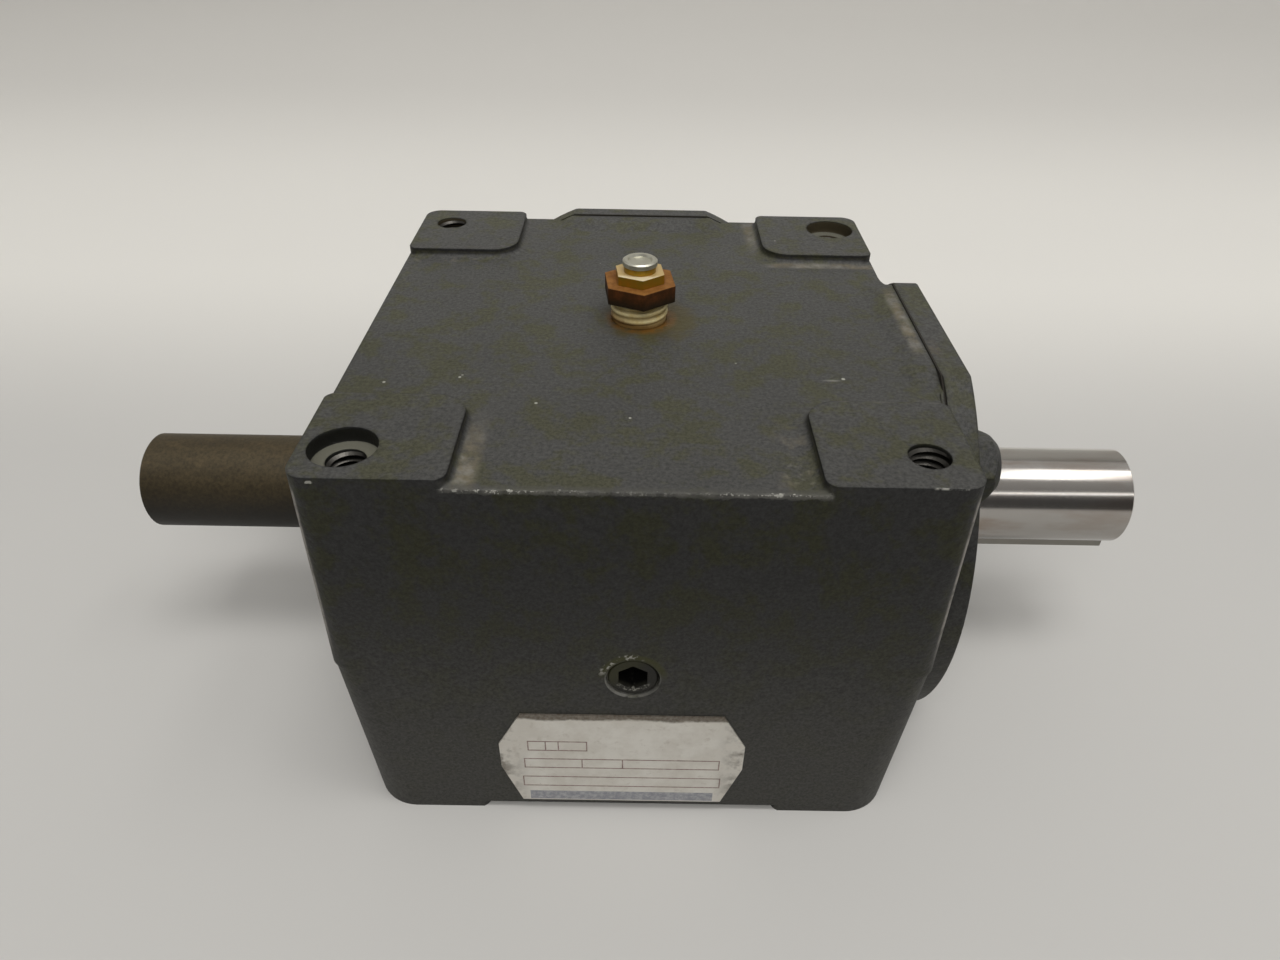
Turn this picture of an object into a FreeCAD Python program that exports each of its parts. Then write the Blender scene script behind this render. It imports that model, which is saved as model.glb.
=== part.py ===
import FreeCAD, Part
import math
import os
import Sketcher

from FreeCAD import Placement, Rotation, Vector

# Right-angle bevel gear reducer in millimetres, +Z up.
# The origin is on the foot plane, at the middle of the four mounting holes.
# The output shaft lies along X, the pinion shaft along +Y, both at half the height.

doc = FreeCAD.newDocument("gear_reducer")
sheet = doc.addObject("Spreadsheet::Sheet", "dims")
nodes = []


class Dim:
    """A number together with the sheet expression that gives it."""

    def __init__(self, value, text):
        self.value = value
        self.text = text

    def __add__(self, other):
        other = as_dim(other)
        return Dim(self.value + other.value, "(%s + %s)" % (self.text, other.text))

    def __sub__(self, other):
        other = as_dim(other)
        return Dim(self.value - other.value, "(%s - %s)" % (self.text, other.text))

    def __mul__(self, other):
        other = as_dim(other)
        return Dim(self.value * other.value, "(%s * %s)" % (self.text, other.text))

    def __truediv__(self, other):
        other = as_dim(other)
        return Dim(self.value / other.value, "(%s / %s)" % (self.text, other.text))

    def __neg__(self):
        return Dim(-self.value, "(-1 * %s)" % self.text)


def as_dim(value):
    if isinstance(value, Dim):
        return value
    return Dim(float(value), repr(float(value)))


def dim(alias, value):
    """Writes one driving dimension into the sheet."""
    dim.row += 1
    sheet.set("A%d" % dim.row, alias)
    sheet.set("B%d" % dim.row, repr(float(value)))
    sheet.setAlias("B%d" % dim.row, alias)
    return Dim(float(value), "dims.%s" % alias)


dim.row = 0

# Housing casting
height = dim("height", 101.6)
mid_height = dim("mid_height", 50.8)
half_width = dim("half_width", 66.0)
half_depth = dim("half_depth", 69.95)
draft_upper = dim("draft_upper", 1.0)
foot_half_width = dim("foot_half_width", 64.5)
foot_half_depth = dim("foot_half_depth", 69.6)
corner_upper = dim("corner_upper", 5.0)
corner_lower = dim("corner_lower", 6.0)
corner_foot = dim("corner_foot", 11.0)
pad_height = dim("pad_height", 2.2)
pad_inner_x = dim("pad_inner_x", 35.0)
pad_inner_y = dim("pad_inner_y", 39.0)
pad_corner = dim("pad_corner", 7.0)
pad_flare = dim("pad_flare", 2.9)
top_side = dim("top_side", 65.3)
top_front = dim("top_front", 69.25)
foot_side = dim("foot_side", 64.8)
foot_front = dim("foot_front", 69.85)
axis_back = dim("axis_back", 3.2)
cavity_half_height = dim("cavity_half_height", 40.4)
cavity_left = dim("cavity_left", 52.5)
cavity_right = dim("cavity_right", 51.0)
cavity_front = dim("cavity_front", 60.0)
cavity_rear = dim("cavity_rear", 52.2)
cavity_corner = dim("cavity_corner", 12.0)

# Mounting holes
hole_half_x = dim("hole_half_x", 56.35)
hole_half_y = dim("hole_half_y", 58.75)
tapped_radius = dim("tapped_radius", 4.76)
tapped_depth = dim("tapped_depth", 19.0)
top_tapped_radius = dim("top_tapped_radius", 4.25)
counterbore_radius = dim("counterbore_radius", 6.8)
counterbore_depth = dim("counterbore_depth", 3.4)
small_tapped_radius = dim("small_tapped_radius", 4.0)

# Caps, gaskets and cap screws
right_cap_radius = dim("right_cap_radius", 56.36)
rear_cap_radius = dim("rear_cap_radius", 54.5)
right_boss_radius = dim("right_boss_radius", 56.0)
cap_flat = dim("cap_flat", 50.6)
cap_chamfer = dim("cap_chamfer", 0.3)
pilot_radius = dim("pilot_radius", 36.48)
pilot_bore = dim("pilot_bore", 36.5)
sleeve_radius = dim("sleeve_radius", 31.0)
gasket_thick = dim("gasket_thick", 0.4)
right_seat = dim("right_seat", 66.9)
right_boss_back = dim("right_boss_back", 63.8)
right_cap_thick = dim("right_cap_thick", 6.2)
rear_seat = dim("rear_seat", 71.4)
rear_cap_thick = dim("rear_cap_thick", 4.76)
spot_face = dim("spot_face", 55.6)
screw_circle = dim("screw_circle", 45.0)
screw_radius = dim("screw_radius", 4.72)
screw_clearance = dim("screw_clearance", 5.1)
screw_reach = dim("screw_reach", 11.5)
screw_hole_depth = dim("screw_hole_depth", 13.0)
screw_flats = dim("screw_flats", 14.29)
screw_head = dim("screw_head", 6.8)
screw_crown = dim("screw_crown", 5.85)

# Tapered roller bearings, measured from the back face of the cone
bore_radius = dim("bore_radius", 12.71)
cone_width = dim("cone_width", 14.7)
rib_radius = dim("rib_radius", 18.6)
rib_width = dim("rib_width", 2.2)
race_large = dim("race_large", 17.2)
race_small = dim("race_small", 15.3)
race_end = dim("race_end", 13.2)
small_rib = dim("small_rib", 16.0)
cup_radius = dim("cup_radius", 25.13)
cup_bore = dim("cup_bore", 25.15)
cup_start = dim("cup_start", 3.5)
cup_end = dim("cup_end", 14.2)
cup_race_large = dim("cup_race_large", 23.75)
cup_race_small = dim("cup_race_small", 21.0)
roller_start = dim("roller_start", 3.2)
roller_start_radius = dim("roller_start_radius", 20.45)
roller_slope = dim("roller_slope", 12.1)
roller_length = dim("roller_length", 9.5)
roller_large = dim("roller_large", 3.08)
roller_small = dim("roller_small", 2.68)
roller_count = 13

# Output shaft
shaft_radius = dim("shaft_radius", 12.7)
shaft_left = dim("shaft_left", 130.6)
shaft_right = dim("shaft_right", 131.4)
shaft_chamfer_length = dim("shaft_chamfer_length", 0.5)
shaft_chamfer = dim("shaft_chamfer", 0.6)
relief_radius = dim("relief_radius", 12.3)
relief_width = dim("relief_width", 1.3)
left_relief = dim("left_relief", 66.2)
right_relief = dim("right_relief", 74.6)
input_relief = dim("input_relief", 92.2)
middle_radius = dim("middle_radius", 15.875)
gear_seat_radius = dim("gear_seat_radius", 14.28)
cone_back = dim("cone_back", 42.3)
gear_seat_start = dim("gear_seat_start", 10.0)
gear_seat_end = dim("gear_seat_end", 36.2)
key_width = dim("key_width", 6.35)
key_seat_depth = dim("key_seat_depth", 3.175)
key_start = dim("key_start", 79.0)
key_end = dim("key_end", 132.4)
left_seat_end = dim("left_seat_end", 127.0)
key_play = dim("key_play", 0.02)
gear_key_start = dim("gear_key_start", 13.0)
gear_key_end = dim("gear_key_end", 33.0)

# Bevel pair, twelve diametral pitch, two to one
module = dim("module_size", 2.1167)
pinion_teeth = 16
gear_teeth = 32
face_width = dim("face_width", 11.0)
dedendum = dim("dedendum", 2.54)
backlash = dim("backlash", 0.12)
gear_bore = dim("gear_bore", 14.3)
gear_hub = dim("gear_hub", 22.0)

# Pinion shaft, measured along its axis from the crossing of the axes
pinion_shoulder = dim("pinion_shoulder", 38.0)
pinion_collar = dim("pinion_collar", 15.8)
input_front_cone = dim("input_front_cone", 38.0)
input_rear_cone = dim("input_rear_cone", 72.4)
input_end = dim("input_end", 140.0)
quill_start = dim("quill_start", 40.0)
hub_radius = dim("hub_radius", 30.0)
hub_end = dim("hub_end", 91.0)
locknut_radius = dim("locknut_radius", 19.0)
locknut_width = dim("locknut_width", 7.0)
input_key_start = dim("input_key_start", 97.0)
input_key_end = dim("input_key_end", 136.0)

# Oil seals
seal_gap = dim("seal_gap", 0.05)
seal_radius = dim("seal_radius", 20.62)
seal_bore = dim("seal_bore", 20.64)
seal_width = dim("seal_width", 7.0)
input_seal_radius = dim("input_seal_radius", 25.38)
input_seal_bore = dim("input_seal_bore", 25.4)

# Breather, plugs and plate
vent_y = dim("vent_y", 3.0)
vent_hole = dim("vent_hole", 6.75)
stub_radius = dim("stub_radius", 6.7)
stub_height = dim("stub_height", 5.9)
bushing_flats = dim("bushing_flats", 16.2)
bushing_hex = dim("bushing_hex", 4.1)
breather_flats = dim("breather_flats", 11.1)
breather_hex = dim("breather_hex", 2.3)
breather_thread = dim("breather_thread", 4.85)
breather_neck = dim("breather_neck", 3.9)
breather_neck_height = dim("breather_neck_height", 1.6)
cap_dish = dim("cap_dish", 4.2)
plug_radius = dim("plug_radius", 5.9)
plug_hole = dim("plug_hole", 5.93)
plug_length = dim("plug_length", 8.5)
plug_socket = dim("plug_socket", 6.35)
plug_z = dim("plug_z", 48.9)
plate_thick = dim("plate_thick", 0.4)
plate_shift = dim("plate_shift", -2.3)


def fail(message):
    raise RuntimeError(message)


def keep(feature, label):
    """Marks a document object as one finished piece."""
    feature.Label = label
    nodes.append(feature)
    return feature


# Sketch helpers


def new_body(label):
    body = doc.addObject("PartDesign::Body", label + "_body")
    return body


def origin_plane(body, role):
    for feature in body.Origin.OriginFeatures:
        if feature.Role == role:
            return feature
    fail("no plane " + role)


def new_sketch(body, name, role, offset=0.0):
    sketch = body.newObject("Sketcher::SketchObject", name)
    sketch.AttachmentSupport = [(origin_plane(body, role), "")]
    sketch.MapMode = "FlatFace"
    offset = as_dim(offset)
    sketch.AttachmentOffset = Placement(Vector(0, 0, offset.value), Rotation())
    sketch.setExpression("AttachmentOffset.Base.z", offset.text)
    return sketch


def place_point(sketch, geo, end, across, up, bound):
    """Holds one sketch point at sheet-driven distances from the sketch origin."""
    for kind, axis, value in (("DistanceX", -2, across), ("DistanceY", -1, up)):
        if value is None:
            continue
        value = as_dim(value)
        if abs(value.value) < 1e-9:
            sketch.addConstraint(Sketcher.Constraint("PointOnObject", geo, end, axis))
            continue
        index = sketch.addConstraint(Sketcher.Constraint(kind, -1, 1, geo, end, value.value))
        bound.append((index, value.text))


def bind(sketch, bound):
    for index, text in bound:
        sketch.setExpression("Constraints[%d]" % index, text)


def polygon(sketch, points):
    """Closed outline of straight edges."""
    points = [(as_dim(a), as_dim(b)) for a, b in points]
    first = sketch.GeometryCount
    count = len(points)
    bound = []
    for i in range(count):
        a = points[i]
        b = points[(i + 1) % count]
        start = Vector(a[0].value, a[1].value, 0)
        end = Vector(b[0].value, b[1].value, 0)
        sketch.addGeometry(Part.LineSegment(start, end), False)
    for i in range(count):
        after = (i + 1) % count
        sketch.addConstraint(Sketcher.Constraint("Coincident", first + i, 2, first + after, 1))
    for i in range(count):
        place_point(sketch, first + i, 1, points[i][0], points[i][1], bound)
    bind(sketch, bound)


def circles(sketch, places, radius):
    radius = as_dim(radius)
    bound = []
    for across, up in places:
        across = as_dim(across)
        up = as_dim(up)
        ring = Part.Circle(Vector(across.value, up.value, 0), Vector(0, 0, 1), radius.value)
        geo = sketch.addGeometry(ring, False)
        index = sketch.addConstraint(Sketcher.Constraint("Radius", geo, radius.value))
        bound.append((index, radius.text))
        place_point(sketch, geo, 3, across, up, bound)
    bind(sketch, bound)


def rounded_outline(sketch, corners):
    """Closed outline of level and upright edges, run counter-clockwise, with rounded corners."""
    count = len(corners)
    pts = [(as_dim(a), as_dim(b)) for a, b, r in corners]
    radii = [None if r is None else as_dim(r) for a, b, r in corners]
    bound = []
    ends = []
    for i in range(count):
        here = Vector(pts[i][0].value, pts[i][1].value, 0)
        before = Vector(pts[i - 1][0].value, pts[i - 1][1].value, 0)
        after = Vector(pts[(i + 1) % count][0].value, pts[(i + 1) % count][1].value, 0)
        if radii[i] is None:
            ends.append((here, here))
            continue
        back = (before - here).normalize()
        ahead = (after - here).normalize()
        ends.append((here + back * radii[i].value, here + ahead * radii[i].value))
    for i in range(count):
        sketch.addGeometry(Part.LineSegment(ends[i][1], ends[(i + 1) % count][0]), False)
    for i in range(count):
        a = pts[i]
        b = pts[(i + 1) % count]
        if abs(a[0].value - b[0].value) < 1e-9:
            sketch.addConstraint(Sketcher.Constraint("Vertical", i))
            place_point(sketch, i, 1, a[0], None, bound)
        else:
            sketch.addConstraint(Sketcher.Constraint("Horizontal", i))
            place_point(sketch, i, 1, None, a[1], bound)
    for i in range(count):
        into = (i - 1) % count
        if radii[i] is None:
            sketch.addConstraint(Sketcher.Constraint("Coincident", into, 2, i, 1))
            continue
        here = Vector(pts[i][0].value, pts[i][1].value, 0)
        centre = ends[i][0] + ends[i][1] - here
        turn = (here - ends[i][0]).cross(ends[i][1] - here).z
        first, last = (ends[i][0], ends[i][1]) if turn > 0 else (ends[i][1], ends[i][0])
        start = math.atan2(first.y - centre.y, first.x - centre.x)
        stop = math.atan2(last.y - centre.y, last.x - centre.x)
        ring = Part.Circle(centre, Vector(0, 0, 1), radii[i].value)
        arc = sketch.addGeometry(Part.ArcOfCircle(ring, start, stop), False)
        near, far = (1, 2) if turn > 0 else (2, 1)
        sketch.addConstraint(Sketcher.Constraint("Tangent", into, 2, arc, near))
        sketch.addConstraint(Sketcher.Constraint("Tangent", i, 1, arc, far))
        index = sketch.addConstraint(Sketcher.Constraint("Radius", arc, radii[i].value))
        bound.append((index, radii[i].text))
    bind(sketch, bound)


def pad(body, sketch, name, length, reverse=False, taper=None):
    feature = body.newObject("PartDesign::Pad", name)
    feature.Profile = sketch
    length = as_dim(length)
    feature.Length = length.value
    feature.setExpression("Length", length.text)
    feature.Reversed = reverse
    if taper is not None:
        feature.TaperAngle = taper.value
        feature.setExpression("TaperAngle", taper.text)
    doc.recompute()
    return feature


def pocket(body, sketch, name, length, reverse=False, both=False):
    """Cuts the sketch out of the body and checks that it did remove something."""
    doc.recompute()
    before = body.Shape.Volume
    feature = body.newObject("PartDesign::Pocket", name)
    feature.Profile = sketch
    length = as_dim(length)
    feature.Length = length.value
    feature.setExpression("Length", length.text)
    feature.Reversed = reverse
    if both:
        feature.SideType = "Symmetric"
    doc.recompute()
    if body.Shape.Volume > before - 0.5:
        fail("pocket %s cuts nothing" % name)
    return feature


def revolve(body, name, points):
    """Turns a closed outline of (along, radius) points about the body's X axis."""
    sketch = new_sketch(body, name + "_profile", "XY_Plane")
    polygon(sketch, points)
    feature = body.newObject("PartDesign::Revolution", name)
    feature.Profile = sketch
    feature.ReferenceAxis = (sketch, ["H_Axis"])
    feature.Angle = 360.0
    doc.recompute()
    return feature


def loft(body, name, first, second):
    """Joins two outlines by straight walls."""
    feature = body.newObject("PartDesign::AdditiveLoft", name)
    feature.Profile = first
    feature.Sections = [second]
    feature.Ruled = True
    doc.recompute()
    return feature


# Placements. Along the output axis, along the pinion axis, and upright.
along_x = Rotation()
along_y = Rotation(Vector(0, 0, 1), 90)
along_minus_x = Rotation(Vector(0, 0, 1), 180)
along_minus_y = Rotation(Vector(0, 0, 1), -90)
upright = Rotation(Vector(0, 1, 0), -90)


def put(feature, x, y, z, rotation=None):
    """Gives a piece its place with the base held by the sheet."""
    x = as_dim(x)
    y = as_dim(y)
    z = as_dim(z)
    base = Vector(x.value, y.value, z.value)
    feature.Placement = Placement(base, rotation if rotation is not None else Rotation())
    for axis, value in (("x", x), ("y", y), ("z", z)):
        feature.setExpression("Placement.Base.%s" % axis, value.text)
    return feature


def turned(label, points, x, y, z, rotation):
    """A finished piece that is turned about its own axis."""
    body = new_body(label)
    revolve(body, label + "_turned", points)
    put(body, x, y, z, rotation)
    return keep(body, label)


# Primitive helpers


def cylinder(name, radius, length, x=0.0, y=0.0, z=0.0, rotation=None):
    feature = doc.addObject("Part::Cylinder", name)
    radius = as_dim(radius)
    length = as_dim(length)
    feature.Radius = radius.value
    feature.Height = length.value
    feature.setExpression("Radius", radius.text)
    feature.setExpression("Height", length.text)
    return put(feature, x, y, z, rotation)


def hexagon(name, flats, length, x=0.0, y=0.0, z=0.0, rotation=None):
    feature = doc.addObject("Part::Prism", name)
    corner = as_dim(flats) / as_dim(math.sqrt(3.0))
    length = as_dim(length)
    feature.Polygon = 6
    feature.Circumradius = corner.value
    feature.Height = length.value
    feature.setExpression("Circumradius", corner.text)
    feature.setExpression("Height", length.text)
    return put(feature, x, y, z, rotation)


def box(name, length, width, tall, x=0.0, y=0.0, z=0.0, rotation=None):
    feature = doc.addObject("Part::Box", name)
    for prop, value in (("Length", length), ("Width", width), ("Height", tall)):
        value = as_dim(value)
        setattr(feature, prop, value.value)
        feature.setExpression(prop, value.text)
    return put(feature, x, y, z, rotation)


def frustum(name, lower, upper, length, x=0.0, y=0.0, z=0.0, rotation=None):
    feature = doc.addObject("Part::Cone", name)
    for prop, value in (("Radius1", lower), ("Radius2", upper), ("Height", length)):
        value = as_dim(value)
        setattr(feature, prop, value.value)
        feature.setExpression(prop, value.text)
    return put(feature, x, y, z, rotation)


def cut(name, base, tool):
    feature = doc.addObject("Part::Cut", name)
    feature.Base = base
    feature.Tool = tool
    return feature


def fuse(name, shapes):
    feature = doc.addObject("Part::MultiFuse", name)
    feature.Shapes = shapes
    return feature


def group(name, shapes):
    feature = doc.addObject("Part::Compound", name)
    feature.Links = shapes
    return feature


axis_y = -axis_back

# Housing casting with draft both ways from a mid-height parting line.
# The corners of the lower half grow rounder towards the feet.
housing = new_body("housing")


def wall_outline(wide, deep, corner):
    return [
        (wide, -deep, corner),
        (wide, deep, corner),
        (-wide, deep, corner),
        (-wide, -deep, corner),
    ]


upper_sketch = new_sketch(housing, "upper_outline", "XY_Plane", mid_height)
rounded_outline(upper_sketch, wall_outline(half_width, half_depth, corner_upper))
pad(housing, upper_sketch, "upper_half", height - mid_height, taper=-draft_upper)
lower_sketch = new_sketch(housing, "lower_outline", "XY_Plane", mid_height)
rounded_outline(lower_sketch, wall_outline(half_width, half_depth, corner_lower))
foot_sketch = new_sketch(housing, "foot_outline", "XY_Plane")
rounded_outline(foot_sketch, wall_outline(foot_half_width, foot_half_depth, corner_foot))
loft(housing, "lower_half", lower_sketch, foot_sketch)

# Raised corner pads on top and feet below are what a cross-shaped recess leaves standing
reach = dim("recess_reach", 80.0)


def recess_outline(side, front):
    """Cross whose arms flare where they run out, which rounds the outer ends of the pad walls."""
    wide_x = pad_inner_x + 8.0
    wide_y = pad_inner_y + 8.0
    quarter = [
        (wide_x, reach, None),
        (wide_x, front, None),
        (pad_inner_x, front, pad_flare),
        (pad_inner_x, pad_inner_y, pad_corner),
        (side, pad_inner_y, pad_flare),
        (side, wide_y, None),
        (reach, wide_y, None),
    ]
    outline = [(a, -b, r) for a, b, r in quarter]
    outline += [(a, b, r) for a, b, r in reversed(quarter)]
    outline += [(-a, b, r) for a, b, r in quarter]
    outline += [(-a, -b, r) for a, b, r in reversed(quarter)]
    return outline


top_recess = new_sketch(housing, "top_recess_outline", "XY_Plane", height)
rounded_outline(top_recess, recess_outline(top_side, top_front))
pocket(housing, top_recess, "top_recess", pad_height)
foot_recess = new_sketch(housing, "foot_recess_outline", "XY_Plane")
rounded_outline(foot_recess, recess_outline(foot_side, foot_front))
pocket(housing, foot_recess, "foot_recess", pad_height, reverse=True)

# Boss for the right cap, trimmed level with the floors of the recesses
boss_sketch = new_sketch(housing, "right_boss_outline", "YZ_Plane", right_boss_back)
circles(boss_sketch, [(axis_y, mid_height)], right_boss_radius)
pad(housing, boss_sketch, "right_boss", right_seat - right_boss_back)
trim = new_sketch(housing, "boss_trim_outline", "YZ_Plane", right_boss_back)
trim_half = dim("boss_trim_half", 31.0)
for level, beyond in ((height - pad_height, height + 20.0), (pad_height, as_dim(-20.0))):
    polygon(trim, [
        (axis_y - trim_half, level),
        (axis_y + trim_half, level),
        (axis_y + trim_half, beyond),
        (axis_y - trim_half, beyond),
    ])
pocket(housing, trim, "boss_trim", right_seat, reverse=True)

# Cored cavity and the boss that carries the left bearing
cavity = new_sketch(housing, "cavity_outline", "XY_Plane", mid_height)
rounded_outline(cavity, [
    (cavity_right, -cavity_front, cavity_corner),
    (cavity_right, cavity_rear, cavity_corner),
    (-cavity_left, cavity_rear, cavity_corner),
    (-cavity_left, -cavity_front, cavity_corner),
])
pocket(housing, cavity, "cavity", cavity_half_height * 2.0, both=True)
left_boss = new_sketch(housing, "left_boss_outline", "YZ_Plane", -cavity_left - 1.0)
circles(left_boss, [(axis_y, mid_height)], sleeve_radius)
pad(housing, left_boss, "left_boss", cavity_left + 1.0 - (cone_back + 2.2))

# Bores for the two caps, the machined rear seat, and the left bearing and seal
right_bore = new_sketch(housing, "right_bore_outline", "YZ_Plane", right_seat)
circles(right_bore, [(axis_y, mid_height)], pilot_bore)
pocket(housing, right_bore, "right_bore", right_seat - cavity_right + 1.0)
rear_face = new_sketch(housing, "rear_face_outline", "XZ_Plane", -(rear_seat - axis_back))
circles(rear_face, [(0.0, mid_height)], spot_face)
pocket(housing, rear_face, "rear_face", 10.0)
rear_bore = new_sketch(housing, "rear_bore_outline", "XZ_Plane", -(rear_seat - axis_back))
circles(rear_bore, [(0.0, mid_height)], pilot_bore)
pocket(housing, rear_bore, "rear_bore", rear_seat - axis_back - cavity_rear + 1.0, reverse=True)
cup_shoulder = cone_back + cup_end
left_face = new_sketch(housing, "left_face_outline", "YZ_Plane", -half_width + 0.8)
circles(left_face, [(axis_y, mid_height)], 24.0)
pocket(housing, left_face, "left_face", 5.0)
left_cup_bore = new_sketch(housing, "left_cup_bore_outline", "YZ_Plane", -cup_shoulder)
circles(left_cup_bore, [(axis_y, mid_height)], cup_bore)
pocket(housing, left_cup_bore, "left_cup_bore", 20.0, reverse=True)
left_seal_bore = new_sketch(housing, "left_seal_bore_outline", "YZ_Plane", -half_width)
circles(left_seal_bore, [(axis_y, mid_height)], seal_bore)
pocket(housing, left_seal_bore, "left_seal_bore", seal_width + 1.0, reverse=True)
left_way = new_sketch(housing, "left_way_outline", "YZ_Plane", -half_width)
circles(left_way, [(axis_y, mid_height)], rib_radius)
pocket(housing, left_way, "left_way", 12.0, reverse=True)

# Tapped holes for the cap screws, at forty-five degrees
screw_arm = screw_circle * as_dim(math.sqrt(0.5))
right_taps = new_sketch(housing, "right_taps_outline", "YZ_Plane", right_seat)
square = [(1, 1), (-1, 1), (-1, -1), (1, -1)]
circles(right_taps, [(axis_y + screw_arm * a, mid_height + screw_arm * b) for a, b in square], tapped_radius)
pocket(housing, right_taps, "right_taps", screw_hole_depth)
rear_taps = new_sketch(housing, "rear_taps_outline", "XZ_Plane", -(rear_seat - axis_back))
circles(rear_taps, [(screw_arm * a, mid_height + screw_arm * b) for a, b in square], tapped_radius)
pocket(housing, rear_taps, "rear_taps", screw_hole_depth, reverse=True)

# Mounting holes. Two of the top holes are plain tapped, two are counterbored.
# The plain tapped holes in the top are drawn at the pitch radius of their thread.
hole_place = {(a, b): (hole_half_x * a, hole_half_y * b) for a, b in square}
top_taps = new_sketch(housing, "top_taps_outline", "XY_Plane", height)
circles(top_taps, [hole_place[(1, -1)], hole_place[(-1, 1)]], top_tapped_radius)
pocket(housing, top_taps, "top_taps", tapped_depth)
top_bores = new_sketch(housing, "top_counterbores_outline", "XY_Plane", height)
circles(top_bores, [hole_place[(-1, -1)], hole_place[(1, 1)]], counterbore_radius)
pocket(housing, top_bores, "top_counterbores", counterbore_depth)
top_small = new_sketch(housing, "top_small_taps_outline", "XY_Plane", height)
circles(top_small, [hole_place[(-1, -1)], hole_place[(1, 1)]], small_tapped_radius)
pocket(housing, top_small, "top_small_taps", tapped_depth)
foot_taps = new_sketch(housing, "foot_taps_outline", "XY_Plane")
circles(foot_taps, [hole_place[s] for s in square], tapped_radius)
pocket(housing, foot_taps, "foot_taps", tapped_depth, reverse=True)

# Pipe-threaded holes for the breather, the level plug and the drain plug
vent_sketch = new_sketch(housing, "vent_hole_outline", "XY_Plane", height)
circles(vent_sketch, [(0.0, vent_y)], vent_hole)
pocket(housing, vent_sketch, "vent_hole_cut", 14.0)
level_sketch = new_sketch(housing, "level_hole_outline", "XZ_Plane", half_depth + 1.0)
circles(level_sketch, [(0.0, plug_z)], plug_hole)
pocket(housing, level_sketch, "level_hole_cut", 14.0)
drain_sketch = new_sketch(housing, "drain_hole_outline", "XY_Plane")
circles(drain_sketch, [(0.0, 0.0)], plug_hole)
pocket(housing, drain_sketch, "drain_hole_cut", 14.0, reverse=True)
keep(housing, "housing")


# Caps and gaskets share the flats and the four screw holes


def flanged(label, points, x, y, z, rotation):
    body = new_body(label)
    revolve(body, label + "_turned", points)
    flats = new_sketch(body, label + "_flats_outline", "YZ_Plane")
    polygon(flats, [(-reach, cap_flat), (reach, cap_flat), (reach, reach), (-reach, reach)])
    polygon(flats, [(-reach, -reach), (reach, -reach), (reach, -cap_flat), (-reach, -cap_flat)])
    pocket(body, flats, label + "_flats", 150.0, reverse=True)
    holes = new_sketch(body, label + "_holes_outline", "YZ_Plane")
    circles(holes, [(screw_arm * a, screw_arm * b) for a, b in square], screw_clearance)
    pocket(body, holes, label + "_holes", 150.0, reverse=True)
    put(body, x, y, z, rotation)
    return keep(body, label)


right_back = right_seat + gasket_thick
right_face = right_back + right_cap_thick
flanged("right_bearing_cap", [
    (cone_back + 2.2, cup_bore),
    (cone_back + 2.2, sleeve_radius),
    (cavity_right, sleeve_radius),
    (cavity_right, pilot_radius),
    (right_back, pilot_radius),
    (right_back, right_cap_radius),
    (right_face - cap_chamfer, right_cap_radius),
    (right_face, right_cap_radius - cap_chamfer),
    (right_face, seal_bore),
    (right_face - seal_width - 0.4, seal_bore),
    (right_face - seal_width - 0.4, rib_radius),
    (cup_shoulder, rib_radius),
    (cup_shoulder, cup_bore),
], 0.0, axis_y, mid_height, along_x)

rear_back = rear_seat + gasket_thick
rear_outer = rear_back + rear_cap_thick
front_cup_end = input_front_cone + cup_end
rear_cup_end = input_rear_cone - cup_end
flanged("rear_bearing_cap", [
    (quill_start, cup_bore),
    (quill_start, sleeve_radius),
    (cavity_rear + axis_back, sleeve_radius),
    (cavity_rear + axis_back, pilot_radius),
    (rear_back, pilot_radius),
    (rear_back, rear_cap_radius),
    (rear_outer - cap_chamfer, rear_cap_radius),
    (rear_outer, rear_cap_radius - cap_chamfer),
    (rear_outer, hub_radius),
    (hub_end - cap_chamfer, hub_radius),
    (hub_end, hub_radius - cap_chamfer),
    (hub_end, input_seal_bore),
    (hub_end - seal_width - 0.4, input_seal_bore),
    (hub_end - seal_width - 0.4, cup_bore),
    (rear_cup_end, cup_bore),
    (rear_cup_end, cup_race_small + 0.5),
    (front_cup_end, cup_race_small + 0.5),
    (front_cup_end, cup_bore),
], 0.0, axis_y, mid_height, along_y)

gasket_inner = pilot_bore + 0.2
right_outer = right_cap_radius - 0.5
flanged("right_gasket", [
    (right_seat, gasket_inner),
    (right_back, gasket_inner),
    (right_back, right_outer),
    (right_seat, right_outer),
], 0.0, axis_y, mid_height, along_x)
rear_rim = rear_cap_radius - 0.3
flanged("rear_gasket", [
    (rear_seat, gasket_inner),
    (rear_back, gasket_inner),
    (rear_back, rear_rim),
    (rear_seat, rear_rim),
], 0.0, axis_y, mid_height, along_y)


# Hex cap screws with a well rounded head, each stopped at its own angle


def hex_screw(name, grip, x, y, z, rotation):
    head = hexagon(name + "_head", screw_flats, screw_head)
    crown = frustum(name + "_crown", screw_crown + screw_head, screw_crown, screw_head)
    shaped = doc.addObject("Part::Common", name + "_shaped")
    shaped.Base = head
    shaped.Tool = crown
    shank = cylinder(name + "_shank", screw_radius, grip, 0.0, 0.0, -grip)
    screw = fuse(name, [shaped, shank])
    return put(screw, x, y, z, rotation)


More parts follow.
